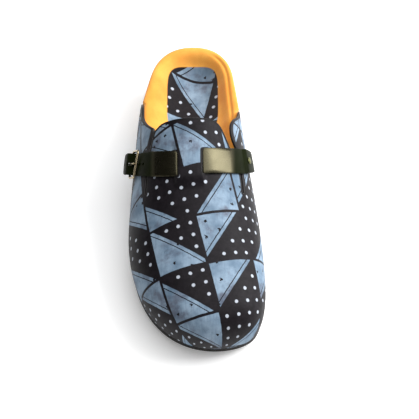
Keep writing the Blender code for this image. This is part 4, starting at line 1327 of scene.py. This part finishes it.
def quilt(paint, flat):
    """Masks of a quilt of split squares: their pale halves, with a stripe, and dots in the dark ones."""
    spot = paint.vector("ADD", paint.shaken(flat, 0.3, 3.0, QUILT_WOBBLE), QUILT_START)
    inputs = {"Vector": spot, "Angle": QUILT_TURN}
    turned = paint.add("VectorRotate", inputs, "Vector", rotation_type="Z_AXIS")
    grid = paint.vector("MULTIPLY_ADD", turned, (1 / QUILT, 1 / QUILT, 0.0), (0.0, 0.0, 0.5))
    inside = paint.vector("SUBTRACT", paint.vector("FRACTION", grid), (0.5, 0.5, 0.5))
    chance = paint.add("TexWhiteNoise", {"Vector": paint.vector("FLOOR", grid)}, "Color")
    chance_x, chance_y, chance_z = paint.parts(chance)
    signs = [
        paint.math("MULTIPLY_ADD", paint.math("GREATER_THAN", value, 0.5), 2.0, -1.0)
        for value in (chance_x, chance_y)
    ]
    shift = paint.span(chance_z, *QUILT_SHIFTS)

    def slope(point):
        across, along, _ = paint.parts(point)
        first = paint.math("MULTIPLY_ADD", across, signs[0], shift)
        return paint.math("MULTIPLY_ADD", along, signs[1], first)

    from_split = slope(inside)
    stripe = paint.math("COMPARE", from_split, STRIPE_PLACE, STRIPE_HALF)
    pale = paint.math("SUBTRACT", paint.edge(from_split, 0.0, SPLIT_SOFT), stripe)
    across, along, _ = paint.parts(paint.vector("ABSOLUTE", inside))
    seam = paint.math("SUBTRACT", 0.5, paint.math("MAXIMUM", across, along))
    pale = paint.math("MULTIPLY", pale, paint.edge(seam, QUILT_SEAM / QUILT, SEAM_SOFT))
    steps = paint.scaled(inside, QUILT / DOT_PITCH)
    centre = paint.vector("ADD", paint.vector("FLOOR", steps), (0.5, 0.5, 0.0))
    centre = paint.vector("MULTIPLY", centre, (1.0, 1.0, 0.0))
    dots = paint.edge(paint.vector("DISTANCE", steps, centre), DOT_RADIUS / DOT_PITCH, -DOT_SOFT)
    clear = paint.math("LESS_THAN", slope(paint.scaled(centre, DOT_PITCH / QUILT)), -DOT_CLEAR)
    dots = paint.math("MULTIPLY", dots, clear)
    return pale, paint.math("MULTIPLY", dots, paint.math("GREATER_THAN", chance_z, DOT_CHANCE))


def blots(paint, flat):
    """Mask of a few crisp ink blots with ragged edges."""
    spot = paint.shaken(flat, 0.5, 3.0, BLOT_RAGGED)
    off = paint.cells(spot, 1 / BLOT_PITCH, flat=True)
    chance = paint.parts(paint.cells(spot, 1 / BLOT_PITCH, "Color", flat=True))[0]
    inside = paint.edge(off, BLOT_RADIUS / BLOT_PITCH, -BLOT_SOFT)
    return paint.math("MULTIPLY", inside, paint.math("GREATER_THAN", chance, BLOT_CHANCE))


def print_colours(paint, flat):
    """Colours of the quilt print: charcoal, weathered pale blue with dark specks, and off-white dots."""
    pale, dots = quilt(paint, flat)
    cloud = paint.noise(flat, 0.05, 5.0, 0.6)
    grime = paint.noise(flat, 0.22, 6.0, 0.68)
    streaks = paint.noise(paint.vector("MULTIPLY", flat, (0.7, 0.05, 0.0)), 1.0, 4.0, 0.6)
    smudge = paint.noise(paint.vector("ADD", flat, (90.0, 40.0, 0.0)), 0.045, 5.0, 0.62)
    blue = paint.mix(paint.step(cloud, 0.3, 0.7), srgb(96, 119, 140), srgb(146, 167, 187))
    blue = paint.stain(blue, streaks, 0.45, 0.75, 0.4, (92, 112, 134))
    blue = paint.stain(blue, grime, 0.5, 0.75, 0.45, (62, 74, 90))
    blue = paint.stain(blue, smudge, 0.5, 0.66, 0.7, (80, 80, 94))
    blue = paint.mix(blots(paint, flat), blue, srgb(24, 22, 27))
    dark = paint.mix(paint.step(grime, 0.35, 0.75), srgb(18, 15, 19), srgb(30, 26, 31))
    colours = paint.mix(pale, dark, blue)
    return paint.mix(dots, colours, srgb(180, 187, 198))


def leather_grain(paint, place, size):
    """Height of a fine leather grain with cells of a size in millimetres."""
    pores = paint.cells(place, 1 / size, feature="SMOOTH_F1")
    return paint.math("MULTIPLY_ADD", paint.noise(place, 0.4 / size, 4.0), 0.6, pores)


def print_paint():
    paint = Paint("printed leather", {"Specular IOR Level": 0.13})
    across, along, gap = paint.parts(paint.add("Attribute", {}, "Vector", attribute_name="flat"))
    flat = paint.add("CombineXYZ", {0: across, 1: along}, 0)
    colours = print_colours(paint, flat)
    paint.colour(paint.mix(paint.step(gap, *BORDER), srgb(20, 18, 20), colours))
    paint.roughness(paint.span(paint.noise(flat, 0.3, 4.0), 0.42, 0.62))
    paint.bump(leather_grain(paint, paint.place(), 0.9), 0.06, 0.5)
    return paint.material


def wall_lining_paint():
    return mottled_paint(
        "wall lining",
        {"Sheen Weight": 0.2, "Specular IOR Level": 0.2},
        colours=((120, 108, 92), (160, 146, 126)),
        patches=(0.5, 4.0),
        roughness=(0.75, 0.9),
        wear=(0.3, 2.0),
        grain=(4.0, 3.0, 0.1, 0.6),
    )


def edge_paint():
    return mottled_paint(
        "painted edge",
        {"Specular IOR Level": 0.4},
        colours=((16, 14, 16), (34, 31, 34)),
        patches=(0.4, 3.0),
        roughness=(0.4, 0.6),
        wear=(0.5, 2.0),
        grain=(1.5, 2.0, 0.05, 0.4),
    )


def patch_mask(paint, place):
    """Mask of the printed heel patch on the lining, with a soft edge."""
    across, along, up = paint.parts(place)
    side = paint.math("SUBTRACT", across, PATCH_SIDE - ORIGIN_SIDE)
    start = ORIGIN_STATION * math.sin(INSTEP_LEAN) - PATCH_RISE
    rise = paint.math("MULTIPLY_ADD", along, -math.sin(INSTEP_LEAN), start)
    rise = paint.math("MULTIPLY_ADD", up, -math.cos(INSTEP_LEAN), rise)
    powers = []
    for distance, half in ((side, PATCH_HALF_WIDTH), (rise, PATCH_HALF_LENGTH)):
        share = paint.math("ABSOLUTE", paint.math("DIVIDE", distance, half))
        powers.append(paint.math("POWER", share, PATCH_POWER))
    return paint.edge(paint.math("ADD", *powers), 1.0, -PATCH_SOFT)


def suede_paint():
    paint = Paint("suede", {"Specular IOR Level": 0.15, "Sheen Weight": 0.35, "Sheen Roughness": 0.5})
    place = paint.place()
    cloud = paint.noise(place, 0.035, 4.0, 0.55)
    nap = paint.noise(place, 1.6, 5.0, 0.7)
    hide = paint.mix(paint.step(cloud, 0.3, 0.7), srgb(236, 154, 62), srgb(250, 182, 82))
    hide = paint.stain(hide, nap, 0.45, 0.75, 0.35, (212, 126, 44))
    colours = print_colours(paint, paint.vector("MULTIPLY_ADD", place, (1.0, 1.0, 0.0), PATCH_START))
    paint.colour(paint.mix(patch_mask(paint, place), hide, colours))
    paint.roughness(paint.span(nap, 0.8, 0.95))
    paint.bump(nap, 0.12, 0.7)
    return paint.material


def cork_paint():
    paint = Paint("cork", {"Specular IOR Level": 0.3, "Coat Weight": 0.08, "Coat Roughness": 0.4})
    place = paint.place()
    warped = paint.vector("ADD", place, paint.scaled(paint.noise(place, 0.5, 2.0, output="Color"), 1.2))
    grain_colour = paint.parts(paint.cells(warped, 0.5, "Color"))[0]
    seam = paint.cells(warped, 0.5, "Distance", "DISTANCE_TO_EDGE")
    granule = paint.mix(grain_colour, srgb(168, 122, 78), srgb(214, 172, 122))
    dark = paint.step(grain_colour, 0.9, 0.94)
    granule = paint.mix(dark, granule, srgb(104, 66, 38))
    paint.colour(paint.mix(paint.step(seam, 0.0, 0.09), srgb(122, 82, 48), granule))
    paint.roughness(paint.span(paint.noise(place, 0.6), 0.6, 0.8))
    paint.bump(paint.step(seam, 0.0, 0.12), 0.18, 0.7)
    return paint.material


def rubber_paint():
    return mottled_paint(
        "sole rubber",
        {"Specular IOR Level": 0.35},
        colours=((30, 28, 27), (48, 45, 43)),
        patches=(0.15, 4.0),
        roughness=(0.6, 0.8),
        wear=(0.4, 3.0),
        grain=(2.5, 4.0, 0.1, 0.5),
    )


def strap_paint():
    paint = Paint("metallic leather", {"Specular IOR Level": 0.03})
    place = paint.place()
    foil = paint.step(paint.math("ABSOLUTE", paint.parts(place)[0]), *STRAP_FOIL[::-1])
    cloud = paint.noise(place, 0.08, 3.0)
    bronze = paint.mix(cloud, srgb(66, 63, 49), srgb(78, 74, 59))
    # The ends' dark olive-green is painted reflection: it stands for the dark, green surroundings that the
    # sides of the strap mirror
    painted_olive_reflection = paint.mix(cloud, srgb(10, 12, 3), srgb(26, 33, 11))
    paint.colour(paint.mix(foil, painted_olive_reflection, bronze))
    paint.put(paint.shader.inputs["Metallic"], foil)
    worn = paint.math("MULTIPLY_ADD", paint.noise(place, 0.25, 4.0), 0.12, 0.42)
    paint.roughness(paint.math("MULTIPLY_ADD", foil, -0.2, worn))
    paint.bump(leather_grain(paint, place, 1.1), 0.02, 0.3)
    return paint.material


def brass_paint(name, colours, roughness):
    return mottled_paint(name, {"Metallic": 1.0}, colours, (0.4, 4.0), roughness, (0.6, 4.0))


def metal_paint():
    return brass_paint("dark brass", ((150, 136, 106), (196, 180, 148)), (0.16, 0.3))


def rivet_paint():
    # Dull brass whose olive-green tint is painted reflection of green surroundings
    return brass_paint("brass with painted green reflection", ((88, 90, 58), (112, 112, 78)), (0.34, 0.46))


def floor_paint():
    glow = {"Emission Color": (1.0, 1.0, 1.0, 1.0), "Emission Strength": FLOOR_GLOW}
    return mottled_paint(
        "studio floor",
        {"Specular IOR Level": 0.2, **glow},
        colours=((243, 243, 243), (248, 248, 248)),
        patches=(0.004, 2.0),
        roughness=(0.7, 0.8),
        wear=(0.01, 2.0),
    )


# Studio

def build_floor():
    mesh = bpy.data.meshes.new("studio_floor")
    corners = [(x * FLOOR_HALF, y * FLOOR_HALF, 0.0) for x, y in ((-1, -1), (1, -1), (1, 1), (-1, 1))]
    mesh.from_pydata(corners, [], [(0, 1, 2, 3)])
    mesh.materials.append(floor_paint())
    floor = placed("studio_floor", mesh)


def area_light(name, place, target, size, power):
    light = bpy.data.lights.new(name, "AREA")
    light.shape = "RECTANGLE"
    light.size, light.size_y = size
    light.energy = power
    lamp = placed(name, light)
    lamp.location = place
    lamp.rotation_euler = (Vector(target) - Vector(place)).to_track_quat("-Z", "Y").to_euler()


def build_lights():
    for row in LIGHTS:
        area_light(*row)
    world = bpy.data.worlds.new("studio")
    nodes = Nodes(world)
    across = nodes.parts(nodes.add("TexCoord", {}, "Generated"))[0]
    inputs = dict(enumerate((across, *WORLD_SIDES, *WORLD_STRENGTHS)))
    strength = nodes.add("MapRange", inputs, 0, interpolation_type="SMOOTHSTEP")
    background = nodes.tree.nodes["Background"]
    nodes.put(background.inputs["Color"], (1.0, 1.0, 1.0, 1.0))
    nodes.put(background.inputs["Strength"], strength)
    bpy.context.scene.world = world


def build_camera():
    lens = bpy.data.cameras.new("camera")
    lens.sensor_width = SENSOR
    lens.lens = SENSOR * PIXELS_PER_METRE * CAMERA_DISTANCE / PICTURE
    lens.shift_x = (PICTURE / 2 - TARGET_PIXEL[0]) / PICTURE
    lens.shift_y = (TARGET_PIXEL[1] - PICTURE / 2) / PICTURE
    camera = placed("camera", lens)
    back = Vector((0.0, -math.cos(CAMERA_ELEVATION), math.sin(CAMERA_ELEVATION)))
    camera.location = to_frame(CAMERA_TARGET) + back * CAMERA_DISTANCE
    camera.rotation_euler = (math.pi / 2 - CAMERA_ELEVATION, 0.0, 0.0)
    bpy.context.scene.camera = camera


def main():
    bpy.context.scene.view_settings.view_transform = "Standard"
    build_camera()
    build_floor()
    build_lights()
    build_outsole()
    piece(loft_round_crest("pressed_cork", cork_profile, [cork_paint()]), "cork_footbed")
    piece(loft_round_crest("suede_lining", lining_profile, [suede_paint()]), "footbed_lining")
    build_upper()
    build_strap()
    build_buckle()
    build_tab()
    build_prong()
    build_rivet()


main()
